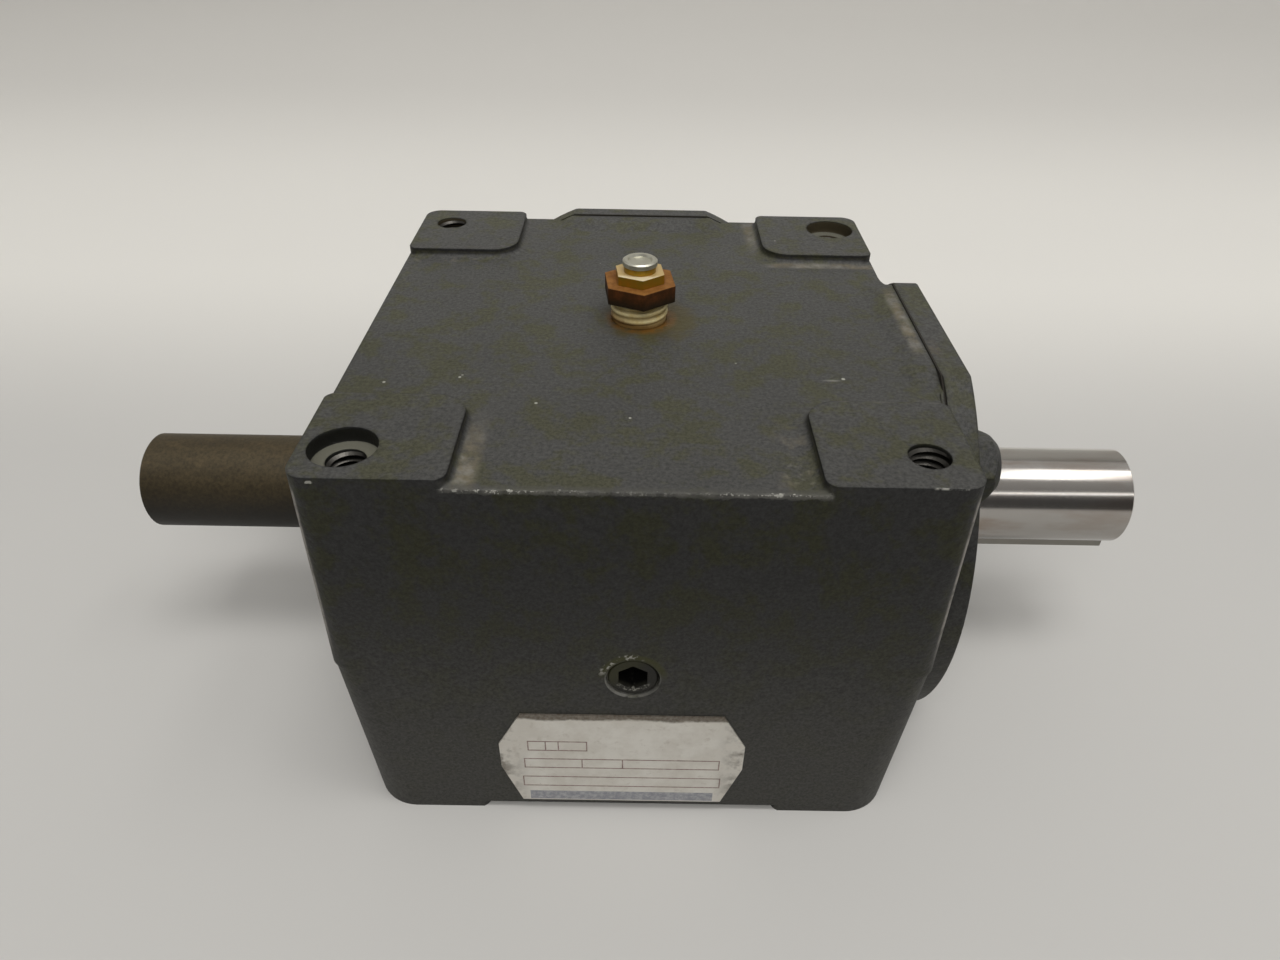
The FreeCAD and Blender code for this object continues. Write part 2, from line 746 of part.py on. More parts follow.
x_out = Rotation(Vector(0, 1, 0), 90)
y_out = Rotation(Vector(1, 0, 0), -90)
right_screws = []
rear_screws = []
screw_turns = (40.0, 14.0, 27.0, 3.0)
for number, (a, b) in enumerate(square):
    turn = Rotation(Vector(1, 0, 0), screw_turns[number]).multiply(x_out)
    grip = right_cap_thick + gasket_thick + screw_reach
    right_screws.append(hex_screw("right_screw_%d" % number, grip, right_face,
                                  axis_y + screw_arm * a, mid_height + screw_arm * b, turn))
    turn = Rotation(Vector(0, 1, 0), screw_turns[-number]).multiply(y_out)
    grip = rear_cap_thick + gasket_thick + screw_reach
    rear_screws.append(hex_screw("rear_screw_%d" % number, grip, screw_arm * a,
                                 axis_y + rear_outer, mid_height + screw_arm * b, turn))
keep(group("right_cap_screw_group", right_screws), "right_cap_screws")
keep(group("rear_cap_screw_group", rear_screws), "rear_cap_screws")

# Tapered roller bearings. The outline runs from the back face of the cone outwards.
cone_profile = [
    (0.0, bore_radius),
    (cone_width, bore_radius),
    (cone_width, small_rib),
    (race_end, small_rib),
    (race_end, race_small),
    (rib_width, race_large),
    (rib_width, rib_radius),
    (0.0, rib_radius),
]
cup_profile = [
    (cup_start, cup_race_large),
    (cup_end, cup_race_small),
    (cup_end, cup_radius),
    (cup_start, cup_radius),
]


def roller_set(label, x, y, z, rotation):
    rollers = []
    for number in range(roller_count):
        turn = Rotation(Vector(1, 0, 0), 360.0 * number / roller_count)
        lean = Rotation(Vector(0, 1, 0), 90.0 + roller_slope.value)
        start = turn.multVec(Vector(roller_start.value, 0, roller_start_radius.value))
        roller = frustum("%s_%d" % (label, number), roller_large, roller_small, roller_length)
        for axis in ("x", "y", "z"):
            roller.setExpression("Placement.Base.%s" % axis, None)
        roller.Placement = Placement(start, turn.multiply(lean))
        rollers.append(roller)
    return keep(put(group(label + "_group", rollers), x, y, z, rotation), label)


def tube(name, outer, inner, start, length):
    skin = cylinder(name + "_outside", outer, length, start, 0.0, 0.0, x_out)
    core = cylinder(name + "_inside", inner, length + 2.0, as_dim(start) - 1.0, 0.0, 0.0, x_out)
    return cut(name, skin, core)


cage_bar = dim("cage_bar", 1.5)
cage_thick = dim("cage_thick", 0.9)


def cage(label, x, y, z, rotation):
    large = tube(label + "_large_ring", roller_start_radius + 0.9, roller_start_radius - 1.1, 1.2, 1.1)
    small = tube(label + "_small_ring", race_small + 3.2, race_small + 1.6, race_end + 0.3, 1.1)
    bars = [large, small]
    for number in range(roller_count):
        turn = Rotation(Vector(1, 0, 0), 360.0 * (number + 0.5) / roller_count)
        lean = Rotation(Vector(0, 1, 0), roller_slope.value)
        bar = box("%s_bar_%d" % (label, number), roller_length + 3.0, cage_bar, cage_thick)
        for axis in ("x", "y", "z"):
            bar.setExpression("Placement.Base.%s" % axis, None)
        start = Vector(1.6, -cage_bar.value / 2.0, roller_start_radius.value - 0.25)
        bar.Placement = Placement(turn.multVec(start), turn.multiply(lean))
        bars.append(bar)
    return keep(put(fuse(label + "_fused", bars), x, y, z, rotation), label)


bearings = [
    ("left", -cone_back, axis_y, along_minus_x),
    ("right", cone_back, axis_y, along_x),
    ("input_front", as_dim(0.0), axis_y + input_front_cone, along_y),
    ("input_rear", as_dim(0.0), axis_y + input_rear_cone, along_minus_y),
]
for side, x, y, rotation in bearings:
    turned(side + "_bearing_cone", cone_profile, x, y, mid_height, rotation)
    turned(side + "_bearing_cup", cup_profile, x, y, mid_height, rotation)
    roller_set(side + "_rollers", x, y, mid_height, rotation)
    cage(side + "_cage", x, y, mid_height, rotation)


# Lip seals, with the open side towards the oil


def oil_seal(label, outer, x, y, rotation):
    lip = shaft_radius + seal_gap
    turned(label, [
        (0.0, lip + 1.6),
        (0.0, outer),
        (seal_width, outer),
        (seal_width, outer - 1.2),
        (1.4, outer - 1.2),
        (1.4, lip + 2.6),
        (5.4, lip + 2.2),
        (5.4, lip + 0.9),
        (4.2, lip),
        (3.4, lip),
        (2.0, lip + 1.2),
    ], x, y, mid_height, rotation)


oil_seal("left_oil_seal", seal_radius, -half_width + 1.0, axis_y, along_x)
oil_seal("right_oil_seal", seal_radius, right_face - 0.2, axis_y, along_minus_x)
oil_seal("input_oil_seal", input_seal_radius, 0.0, axis_y + hub_end - 0.2, along_minus_y)

# Output shaft with a keyseat under each end, one for the gear, and a relief groove outside each seal.
# The right keyseat is open at the end, and its key stands a little past it.
shaft = new_body("output_shaft")
revolve(shaft, "output_shaft_turned", [
    (-shaft_left, 0.0),
    (shaft_right, 0.0),
    (shaft_right, shaft_radius - shaft_chamfer),
    (shaft_right - shaft_chamfer_length, shaft_radius),
    (right_relief + relief_width, shaft_radius),
    (right_relief + relief_width, relief_radius),
    (right_relief, relief_radius),
    (right_relief, shaft_radius),
    (gear_seat_end, shaft_radius),
    (gear_seat_end, gear_seat_radius),
    (gear_seat_start, gear_seat_radius),
    (gear_seat_start, middle_radius),
    (-cone_back, middle_radius),
    (-cone_back, shaft_radius),
    (-left_relief, shaft_radius),
    (-left_relief, relief_radius),
    (-left_relief - relief_width, relief_radius),
    (-left_relief - relief_width, shaft_radius),
    (-shaft_left + shaft_chamfer_length, shaft_radius),
    (-shaft_left, shaft_radius - shaft_chamfer),
])
half_key = key_width / 2.0
end_seats = new_sketch(shaft, "end_seats_outline", "XY_Plane", -(shaft_radius - key_seat_depth))
for start, end in ((key_start, key_end + 1.0), (-left_seat_end, -key_start)):
    polygon(end_seats, [(start, -half_key), (end, -half_key), (end, half_key), (start, half_key)])
pocket(shaft, end_seats, "end_seats", 10.0)
gear_seat = new_sketch(shaft, "gear_seat_outline", "XY_Plane", gear_seat_radius - key_seat_depth)
polygon(gear_seat, [
    (gear_key_start, -half_key),
    (gear_key_end, -half_key),
    (gear_key_end, half_key),
    (gear_key_start, half_key),
])
pocket(shaft, gear_seat, "gear_seat", 10.0, reverse=True)
put(shaft, 0.0, axis_y, mid_height)
keep(shaft, "output_shaft")

slim = key_width - key_play * 2.0
keep(box("output_key_box", key_end - key_start - key_play * 4.0, slim, key_width - key_play,
         key_start + key_play * 2.0, axis_y - slim / 2.0,
         mid_height - shaft_radius + key_seat_depth - key_width), "output_key")
keep(box("gear_key_box", gear_key_end - gear_key_start - key_play * 4.0, slim, key_width - key_play * 2.0,
         gear_key_start + key_play * 2.0, axis_y - slim / 2.0,
         mid_height + gear_seat_radius - key_seat_depth + key_play), "gear_key")
turned("gear_spacer", [
    (gear_seat_end + 0.05, bore_radius),
    (cone_back - 0.05, bore_radius),
    (cone_back - 0.05, rib_radius),
    (gear_seat_end + 0.05, rib_radius),
], 0.0, axis_y, mid_height, along_x)

# Straight bevel teeth. Every edge of a tooth runs to the crossing of the axes,
# so a tooth is one flank outline drawn on the back cone and shrunk towards that point.
pressure_angle = math.radians(20.0)
pinion_pitch = module.value * pinion_teeth / 2.0
gear_pitch = module.value * gear_teeth / 2.0
cone_distance = math.hypot(pinion_pitch, gear_pitch)
shrink = (cone_distance - face_width.value) / cone_distance


def involute(angle):
    return math.tan(angle) - angle


def tooth_outline(pitch_radius, teeth, cone_angle):
    """Flank points as (sideways, outward) from the pitch point on the back cone."""
    virtual_radius = pitch_radius / math.cos(cone_angle)
    virtual_teeth = teeth / math.cos(cone_angle)
    base_radius = virtual_radius * math.cos(pressure_angle)
    tip = virtual_radius + module.value
    root = virtual_radius - dedendum.value - 0.5
    thin = backlash.value / virtual_radius
    half_tooth = math.pi / (2.0 * virtual_teeth) + involute(pressure_angle) - thin
    start = max(base_radius, root)
    side = []
    if root < base_radius:
        side.append((root, half_tooth))
    steps = 5
    for i in range(steps + 1):
        radius = start + (tip - start) * i / steps
        side.append((radius, half_tooth - involute(math.acos(min(1.0, base_radius / radius)))))
    right = [(r * math.sin(a), r * math.cos(a) - virtual_radius) for r, a in side]
    left = [(-s, h) for s, h in reversed(right)]
    return right + left


def tooth_solid(pitch_radius, teeth, cone_angle, turn):
    """One tooth about the X axis, with the apex at the origin."""
    along = cone_distance * math.cos(cone_angle)
    loops = []
    for scale in (1.0, shrink):
        loop = []
        for sideways, outward in tooth_outline(pitch_radius, teeth, cone_angle):
            point = Vector(along - outward * math.sin(cone_angle), sideways,
                           pitch_radius + outward * math.cos(cone_angle))
            loop.append(turn.multVec(point * scale))
        loops.append(loop)
    outer, inner = loops
    count = len(outer)
    faces = [Part.Face(Part.makePolygon(outer + outer[:1])), Part.Face(Part.makePolygon(inner + inner[:1]))]
    for i in range(count):
        j = (i + 1) % count
        faces.append(Part.Face(Part.makePolygon([outer[i], outer[j], inner[j], inner[i], outer[i]])))
    solid = Part.makeSolid(Part.makeShell(faces))
    if solid.Volume < 0:
        solid.reverse()
    return solid


def teeth_ring(name, pitch_radius, teeth, first_turn):
    """All the teeth of one wheel. first_turn is counted in degrees from +Z about X."""
    cone_angle = math.asin(pitch_radius / cone_distance)
    solids = []
    for i in range(teeth):
        turn = Rotation(Vector(1, 0, 0), first_turn + 360.0 * i / teeth)
        solids.append(tooth_solid(pitch_radius, teeth, cone_angle, turn))
    feature = doc.addObject("Part::Feature", name)
    feature.Shape = Part.makeCompound(solids)
    return feature


def root_point(pitch_radius, scale):
    """Where the root cone meets the back cone, as (along, radius) from the apex."""
    cone_angle = math.asin(pitch_radius / cone_distance)
    along = cone_distance * math.cos(cone_angle) + dedendum.value * math.sin(cone_angle)
    radius = pitch_radius - dedendum.value * math.cos(cone_angle)
    return along * scale, radius * scale


# Gear on the output shaft, with its teeth towards the crossing point
gear_blank = new_body("gear_blank")
toe = root_point(gear_pitch, shrink)
heel = root_point(gear_pitch, 1.0)
revolve(gear_blank, "gear_blank_turned", [
    (gear_seat_start + 0.05, gear_bore),
    (gear_seat_end - 0.2, gear_bore),
    (gear_seat_end - 0.2, gear_hub),
    (heel[0] + 5.0, gear_hub),
    (heel[0] + 5.0, heel[1] - 3.0),
    (heel[0] + 1.6, heel[1] - 0.8),
    heel,
    toe,
    (gear_seat_start + 0.05, toe[1] - 4.2),
])
gear_way = new_sketch(gear_blank, "gear_way_outline", "YZ_Plane")
way_top = gear_seat_radius - key_seat_depth + key_width + 0.1
polygon(gear_way, [(-half_key, 5.0), (half_key, 5.0), (half_key, way_top), (-half_key, way_top)])
pocket(gear_blank, gear_way, "gear_way", 60.0, reverse=True)
gear_ring = teeth_ring("gear_teeth_ring", gear_pitch, gear_teeth, -90.0)
gear = fuse("bevel_gear_fused", [gear_blank, gear_ring])
put(gear, 0.0, axis_y, mid_height)
keep(gear, "bevel_gear")

# Pinion cut on the input shaft, with a tooth space facing the gear
pinion_blank = new_body("pinion_blank")
toe = root_point(pinion_pitch, shrink)
heel = root_point(pinion_pitch, 1.0)
revolve(pinion_blank, "pinion_blank_turned", [
    (toe[0], 0.0),
    (input_end, 0.0),
    (input_end, shaft_radius - shaft_chamfer),
    (input_end - shaft_chamfer_length, shaft_radius),
    (input_relief + relief_width, shaft_radius),
    (input_relief + relief_width, relief_radius),
    (input_relief, relief_radius),
    (input_relief, shaft_radius),
    (pinion_shoulder, shaft_radius),
    (pinion_shoulder, pinion_collar),
    (heel[0] + 1.2, pinion_collar),
    heel,
    toe,
])
input_seat = new_sketch(pinion_blank, "input_seat_outline", "XY_Plane", shaft_radius - key_seat_depth)
polygon(input_seat, [
    (input_key_start, -half_key),
    (input_key_end, -half_key),
    (input_key_end, half_key),
    (input_key_start, half_key),
])
pocket(pinion_blank, input_seat, "input_seat", 10.0, reverse=True)
pinion_ring = teeth_ring("pinion_teeth_ring", pinion_pitch, pinion_teeth, 90.0 + 180.0 / pinion_teeth)
pinion = fuse("pinion_fused", [pinion_blank, pinion_ring])
put(pinion, 0.0, axis_y, mid_height, along_y)
keep(pinion, "pinion_shaft")

# Spacer between the pinion bearings and the slotted locknut behind them
turned("bearing_spacer", [
    (input_front_cone + cone_width + 0.05, bore_radius),
    (input_rear_cone - cone_width - 0.05, bore_radius),
    (input_rear_cone - cone_width - 0.05, small_rib),
    (input_front_cone + cone_width + 0.05, small_rib),
], 0.0, axis_y, mid_height, along_y)
nut_start = input_rear_cone + 0.1
locknut = new_body("locknut")
revolve(locknut, "locknut_turned", [
    (nut_start, bore_radius),
    (nut_start + locknut_width, bore_radius),
    (nut_start + locknut_width, locknut_radius - 1.0),
    (nut_start + locknut_width - 1.0, locknut_radius),
    (nut_start, locknut_radius),
])
slots = new_sketch(locknut, "locknut_slots_outline", "YZ_Plane")
slot = dim("slot_half", 2.2)
slot_floor = locknut_radius - 2.4
for turn in (1, -1):
    low = slot_floor * turn
    high = reach * turn
    polygon(slots, [(-slot, low), (slot, low), (slot, high), (-slot, high)])
    polygon(slots, [(low, -slot), (high, -slot), (high, slot), (low, slot)])
pocket(locknut, slots, "locknut_slots", 150.0, reverse=True)
put(locknut, 0.0, axis_y, mid_height, along_y)
keep(locknut, "locknut")

# Breather in the top: threaded bushing, brass body, dished cap
vent_floor = height - pad_height
bushing_turn = Rotation(Vector(0, 0, 1), 37.0)
stub = cylinder("bushing_stub", stub_radius, stub_height + 6.0, 0.0, vent_y, vent_floor - 6.0)
bushing_base = vent_floor + stub_height
bushing_head = hexagon("bushing_head", bushing_flats, bushing_hex, 0.0, vent_y, bushing_base, bushing_turn)
bushing_bore = cylinder("bushing_bore", breather_thread + 0.02, 40.0, 0.0, vent_y, vent_floor - 10.0)
keep(cut("bushing_cut", fuse("bushing_solid", [stub, bushing_head]), bushing_bore), "breather_bushing")
brass_base = bushing_base + bushing_hex
brass_hex = hexagon("brass_hex", breather_flats, breather_hex, 0.0, vent_y, brass_base, bushing_turn)
brass_shank = cylinder("brass_shank", breather_thread, 8.0, 0.0, vent_y, brass_base - 8.0)
neck_top = breather_hex + breather_neck_height
brass_neck = cylinder("brass_neck", breather_neck, neck_top, 0.0, vent_y, brass_base)
brass_way = cylinder("brass_way", 1.5, 40.0, 0.0, vent_y, brass_base - 20.0)
keep(cut("brass_cut", fuse("brass_solid", [brass_hex, brass_shank, brass_neck]), brass_way), "breather_body")
cap_base = brass_base + neck_top
turned("breather_cap", [
    (0.0, 0.0),
    (0.8, 0.0),
    (0.8, cap_dish - 1.5),
    (1.3, cap_dish - 1.2),
    (1.3, cap_dish - 0.4),
    (1.0, cap_dish),
    (0.0, cap_dish),
], 0.0, vent_y, cap_base, upright)


# Socket pipe plugs in the front and in the base


def socket_plug(label, x, y, z, rotation):
    chamfer = 0.7
    barrel = cylinder(label + "_barrel", plug_radius, plug_length - chamfer, 0.0, 0.0, -plug_length)
    rim = frustum(label + "_rim", plug_radius, plug_radius - chamfer, chamfer, 0.0, 0.0, -chamfer)
    socket = hexagon(label + "_socket", plug_socket, 6.0, 0.0, 0.0, -5.0, Rotation(Vector(0, 0, 1), 30))
    plug = cut(label + "_cut", fuse(label + "_solid", [barrel, rim]), socket)
    return keep(put(plug, x, y, z, rotation), label)


socket_plug("level_plug", 0.0, -half_depth + 0.5, plug_z, Rotation(Vector(1, 0, 0), 90))
socket_plug("drain_plug", 0.0, 0.0, pad_height + 0.5, Rotation(Vector(1, 0, 0), 180))

# Foil plate on the lower front face, which leans a little
plate = new_body("plate")
plate_sketch = new_sketch(plate, "plate_outline", "XZ_Plane")
plate_top = dim("plate_top", 14.1)
plate_shoulder = dim("plate_shoulder", 24.9)
plate_hip = dim("plate_hip", 33.5)
plate_bottom = dim("plate_bottom", 46.9)
half_top = dim("plate_half_top", 23.2)
half_widest = dim("plate_half_widest", 28.7)
half_bottom = dim("plate_half_bottom", 24.3)
polygon(plate_sketch, [
    (plate_shift - half_top, -plate_top),
    (plate_shift - half_widest, -plate_shoulder),
    (plate_shift - half_widest, -plate_hip),
    (plate_shift - half_bottom, -plate_bottom),
    (plate_shift + half_bottom, -plate_bottom),
    (plate_shift + half_widest, -plate_hip),
    (plate_shift + half_widest, -plate_shoulder),
    (plate_shift + half_top, -plate_top),
])
pad(plate, plate_sketch, "plate_sheet", plate_thick)
front_lean = math.degrees(math.atan2(half_depth.value - foot_half_depth.value, mid_height.value))
put(plate, 0.0, -half_depth, mid_height, Rotation(Vector(1, 0, 0), front_lean))
keep(plate, "plate")

# Checks and export
doc.recompute()
for feature in doc.Objects:
    if "Invalid" in feature.State or "Error" in feature.State:
        fail("%s is %s" % (feature.Name, feature.State))
os.makedirs("parts", exist_ok=True)
for feature in nodes:
    shape = feature.Shape
    if shape.isNull() or not shape.isValid():
        fail("bad shape " + feature.Label)
for feature in nodes:
    feature.Shape.exportStep("parts/%s.step" % feature.Label)
    extent = feature.Shape.BoundBox
    print("%-22s %2d solids %10.1f mm3  x %.2f %.2f  y %.2f %.2f  z %.2f %.2f" % (
        feature.Label, len(feature.Shape.Solids), feature.Shape.Volume,
        extent.XMin, extent.XMax, extent.YMin, extent.YMax, extent.ZMin, extent.ZMax))
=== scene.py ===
import math
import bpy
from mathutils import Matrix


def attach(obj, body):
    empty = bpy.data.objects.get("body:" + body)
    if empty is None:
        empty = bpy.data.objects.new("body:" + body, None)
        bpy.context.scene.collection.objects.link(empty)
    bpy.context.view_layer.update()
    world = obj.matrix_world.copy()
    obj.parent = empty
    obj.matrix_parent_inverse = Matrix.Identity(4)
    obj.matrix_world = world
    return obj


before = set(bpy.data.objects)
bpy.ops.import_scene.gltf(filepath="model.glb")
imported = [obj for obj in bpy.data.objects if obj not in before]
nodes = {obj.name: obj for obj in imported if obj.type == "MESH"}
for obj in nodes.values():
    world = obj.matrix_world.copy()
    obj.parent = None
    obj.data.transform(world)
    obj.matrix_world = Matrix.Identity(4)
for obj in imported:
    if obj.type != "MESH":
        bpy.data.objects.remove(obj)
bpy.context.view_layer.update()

from types import SimpleNamespace

import bpy
import bmesh
from mathutils import Matrix, Vector

MM = 0.001

# Main sizes of the object in millimetres, as the solids have them
AXIS_Y = -3.2
AXIS_Z = 50.8
TOP = 101.6
RECESS_TOP = 99.4
PAD_X = 35.0
PAD_Y = 39.0
PAD_CORNER = 7.0
PAD_FLARE = 2.9
PAD_SIDE_END = 65.3
PAD_FRONT_END = 69.25
HALF_WIDTH = 66.0
FRONT_MID = -69.95
SEAT_X = 66.9
SEAT_Y = 68.2
BOSS_RADIUS = 56.0
HOLE_X = 56.35
HOLE_Y = 58.75
COUNTERBORE_FLOOR = 98.2
VENT_Y = 3.0
STUB_HEIGHT = 5.9
HEX_LOW = RECESS_TOP + STUB_HEIGHT
PLUG_Z = 48.9

# Slopes of the walls, which lean in from half the height: all above it, the sides and the front below it
UPPER_LEAN = math.tan(math.radians(1.0))
SIDE_LOWER_LEAN = 1.5 / AXIS_Z
FRONT_LOWER_LEAN = 0.35 / AXIS_Z
FRONT_TOP = FRONT_MID + (RECESS_TOP - AXIS_Z) * UPPER_LEAN

# Signs of X and Y at the corners
CORNERS = {"front_left": (-1, -1), "front_right": (1, -1), "rear_right": (1, 1), "rear_left": (-1, 1)}


class Nodes:
    """Short expressions for the nodes of a shader tree. A value is a number or an output of a node."""

    def __init__(self, tree):
        self.tree = tree

    def add(self, kind, **values):
        node = self.tree.nodes.new(kind)
        for key, value in values.items():
            setattr(node, key, value)
        return node

    def join(self, value, socket):
        """Links an output to a socket, or sets the socket to a constant."""
        if isinstance(value, bpy.types.NodeSocket):
            self.tree.links.new(value, socket)
        else:
            socket.default_value = value

    def math(self, operation, a, b=None, c=None):
        node = self.add("ShaderNodeMath", operation=operation)
        for value, socket in zip((a, b, c), node.inputs):
            if value is not None:
                self.join(value, socket)
        return node.outputs[0]

    def sum(self, a, b):
        return self.math("ADD", a, b)

    def less(self, a, b):
        return self.math("SUBTRACT", a, b)

    def times(self, *values):
        result = values[0]
        for value in values[1:]:
            result = self.math("MULTIPLY", result, value)
        return result

    def most(self, *values):
        result = values[0]
        for value in values[1:]:
            result = self.math("MAXIMUM", result, value)
        return result

    def step(self, value, low, high):
        """Smooth step from 0 at low to 1 at high; low may be the larger."""
        node = self.add("ShaderNodeMapRange", interpolation_type="SMOOTHSTEP")
        reverse = low > high
        self.join(value, node.inputs["Value"])
        node.inputs["From Min"].default_value = min(low, high)
        node.inputs["From Max"].default_value = max(low, high)
        node.inputs["To Min"].default_value = 1.0 if reverse else 0.0
        node.inputs["To Max"].default_value = 0.0 if reverse else 1.0
        return node.outputs["Result"]

    def scaled(self, value, low, high):
        """Brings a 0 to 1 value into a range."""
        return self.math("MULTIPLY_ADD", value, high - low, low)


class Look(Nodes):
    """A procedural material, written in millimetres of the object's frame."""

    def __init__(self, name):
        self.material = bpy.data.materials.new(name)
        self.material.use_nodes = True
        super().__init__(self.material.node_tree)
        self.tree.nodes.clear()
        output = self.add("ShaderNodeOutputMaterial")
        self.shader = self.add("ShaderNodeBsdfPrincipled")
        self.tree.links.new(self.shader.outputs["BSDF"], output.inputs["Surface"])
        self.place = None
        self.axes = None
        self.facing = None

    def point(self):
        """Place on the object in millimetres."""
        if self.place is None:
            coordinates = self.add("ShaderNodeTexCoord")
            scale = self.add("ShaderNodeVectorMath", operation="SCALE")
            self.tree.links.new(coordinates.outputs["Object"], scale.inputs[0])
            scale.inputs["Scale"].default_value = 1.0 / MM
            self.place = scale.outputs["Vector"]
        return self.place

    def axis(self, name):
        """One coordinate of the place."""
        if self.axes is None:
            split = self.add("ShaderNodeSeparateXYZ")
            self.tree.links.new(self.point(), split.inputs[0])
            self.axes = split.outputs
        return self.axes[name]

    def normal(self, name):
        """One component of the surface's own normal."""
        if self.facing is None:
            geometry = self.add("ShaderNodeNewGeometry")
            split = self.add("ShaderNodeSeparateXYZ")
            self.tree.links.new(geometry.outputs["Normal"], split.inputs[0])
            self.facing = split.outputs
        return self.facing[name]

    def distance(self, *offsets):
        total = None
        for offset in offsets:
            square = self.times(offset, offset)
            total = square if total is None else self.sum(total, square)
        return self.math("SQRT", total)

    def bell(self, value, centre, half):
        """1 at the centre, falling smoothly to 0 at half on each side."""
        return self.step(self.math("ABSOLUTE", self.less(value, centre)), half, half * 0.25)

    def within(self, value, low, high, soft=1.0):
        """1 between low and high, with soft ends."""
        rising = self.step(value, low - soft, low + soft)
        falling = self.step(value, high + soft, high - soft)
        return self.times(rising, falling)

    def spot(self, offset_a, offset_b, radius):
        """A small disc with a crisp edge."""
        return self.step(self.distance(offset_a, offset_b), radius, radius * 0.6)

    def shade(self, colour, factor):
        """Makes a colour darker or lighter."""
        node = self.add("ShaderNodeVectorMath", operation="SCALE")
        self.join(colour, node.inputs[0])
        self.join(factor, node.inputs["Scale"])
        return node.outputs["Vector"]

    def rounded(self, radius):
        """Surface normal with the edges softened, radius in millimetres."""
        node = self.add("ShaderNodeBevel", samples=4)
        node.inputs["Radius"].default_value = radius * MM
        return node.outputs["Normal"]

    def texture(self, kind, seed_steps, scale):
        """A texture node whose pattern is moved by a seed and scaled along each axis."""
        mapping = self.add("ShaderNodeMapping")
        self.tree.links.new(self.point(), mapping.inputs["Vector"])
        mapping.inputs["Location"].default_value = seed_steps
        mapping.inputs["Scale"].default_value = scale
        node = self.add(kind)
        self.tree.links.new(mapping.outputs["Vector"], node.inputs["Vector"])
        node.inputs["Scale"].default_value = 1.0
        return node

    def noise(self, size, detail=2.0, rough=0.5, stretch=(1.0, 1.0, 1.0), seed=0.0):
        """Cloudy noise, size in millimetres, stretched along some axes."""
        scale = [1.0 / (size * s) for s in stretch]
        node = self.texture("ShaderNodeTexNoise", (seed, seed * 1.7, seed * 0.6), scale)
        node.inputs["Detail"].default_value = detail
        node.inputs["Roughness"].default_value = rough
        return node.outputs["Fac"]

    def cells(self, size, seed=0.0):
        """Distance to the nearest of scattered points, in cell sizes."""
        node = self.texture("ShaderNodeTexVoronoi", (seed, seed * 1.3, seed * 0.7), [1.0 / size] * 3)
        return node.outputs["Distance"]

    def mix(self, factor, a, b):
        """Colour mix."""
        node = self.add("ShaderNodeMix", data_type="RGBA")
        colours = [s for s in node.inputs if s.type == "RGBA"]
        factors = [s for s in node.inputs if s.type == "VALUE"]
        self.join(factor, factors[0])
        for value, socket in zip((a, b), colours):
            if isinstance(value, tuple):
                value = (*value, 1.0)
            self.join(value, socket)
        return [s for s in node.outputs if s.type == "RGBA"][0]

    def bump(self, height, strength, distance, before=None):
        """Surface normal with small relief, distance in millimetres."""
        node = self.add("ShaderNodeBump")
        node.inputs["Strength"].default_value = strength
        node.inputs["Distance"].default_value = distance * MM
        self.join(height, node.inputs["Height"])
        if before is not None:
            self.tree.links.new(before, node.inputs["Normal"])
        return node.outputs["Normal"]

    def set(self, **values):
        """Sets shader sockets: names with underscores for spaces."""
        for key, value in values.items():
            socket = self.shader.inputs[key.replace("_", " ")]
            if isinstance(value, tuple):
                value = (*value, 1.0)
            self.join(value, socket)
        return self.material


def dress(material, *names):
    """Gives a material to the solids of these names."""
    for name in names:
        data = nodes[name].data
        data.materials.clear()
        data.materials.append(material)


# Paint of the castings: its colours, those of what lies on it or shows through it, and painted light and
# highlights on it
SLATE = (0.0205, 0.0205, 0.0205)
SLATE_OLIVE = (0.0205, 0.0210, 0.0095)
# Painted light from the floor, for the lower parts
SLATE_FLOOR_LIGHT = (0.051, 0.050, 0.045)
# Dust and painted light on what faces up
DUST_AND_TOP_LIGHT = (0.071, 0.071, 0.0685)
DUST_AND_TOP_LIGHT_OLIVE = (0.069, 0.069, 0.045)
# Painted light on the right cap's shaded face above the seam
CAP_FACE_LIGHT = (0.078, 0.076, 0.064)
CAP_DUST = (0.150, 0.120, 0.095)
DUST_BROWN = (0.185, 0.160, 0.112)
DUST_PALE = (0.255, 0.243, 0.215)
# Painted light on the shaded walls of the pads, front and rear
WALL_LIGHT_FRONT = (0.045, 0.044, 0.030)
WALL_LIGHT_REAR = (0.044, 0.042, 0.026)
# Worn paint with a painted highlight, on the rear edges of the front pads
WORN_EDGE_HIGHLIGHT = (0.165, 0.160, 0.145)
OIL = (0.072, 0.055, 0.014)
RUSTY_WATER = (0.165, 0.076, 0.014)
BORE_FRONT = (0.011, 0.011, 0.009)
BORE_REAR = (0.060, 0.048, 0.027)
BORED_FLOOR = (0.155, 0.152, 0.120)
EDGE_BAND = (0.080, 0.079, 0.071)
# Worn paint with a painted highlight, on the recess's front edge
EDGE_WEAR_HIGHLIGHT = (0.185, 0.180, 0.163)
PLUG_SEEP = (0.045, 0.045, 0.012)
BARE_IRON = (0.46, 0.455, 0.415)
# Painted highlight on the rounded front corners, where the paint is rubbed thin
CORNER_HIGHLIGHT = (0.290, 0.270, 0.245)

# Dust at each pad: weight beside its side wall, weight before its end wall, width of what lies beside it
PAD_DUST = {
    "front_left": (0.95, 0.10, 3.2),
    "front_right": (0.75, 0.10, 5.0),
    "rear_left": (0.20, 0.55, 3.0),
    "rear_right": (0.85, 1.0, 2.6),
}
FULL_DUST = 0.8

# Specks on the top: X, Y and radius
SPECKS = (
    (-21.5, -38.4, 0.42),
    (-1.5, -43.6, 0.36),
    (-39.4, -28.1, 0.40),
    (-55.5, -30.8, 0.42),
    (45.8, -26.1, 0.52),
)


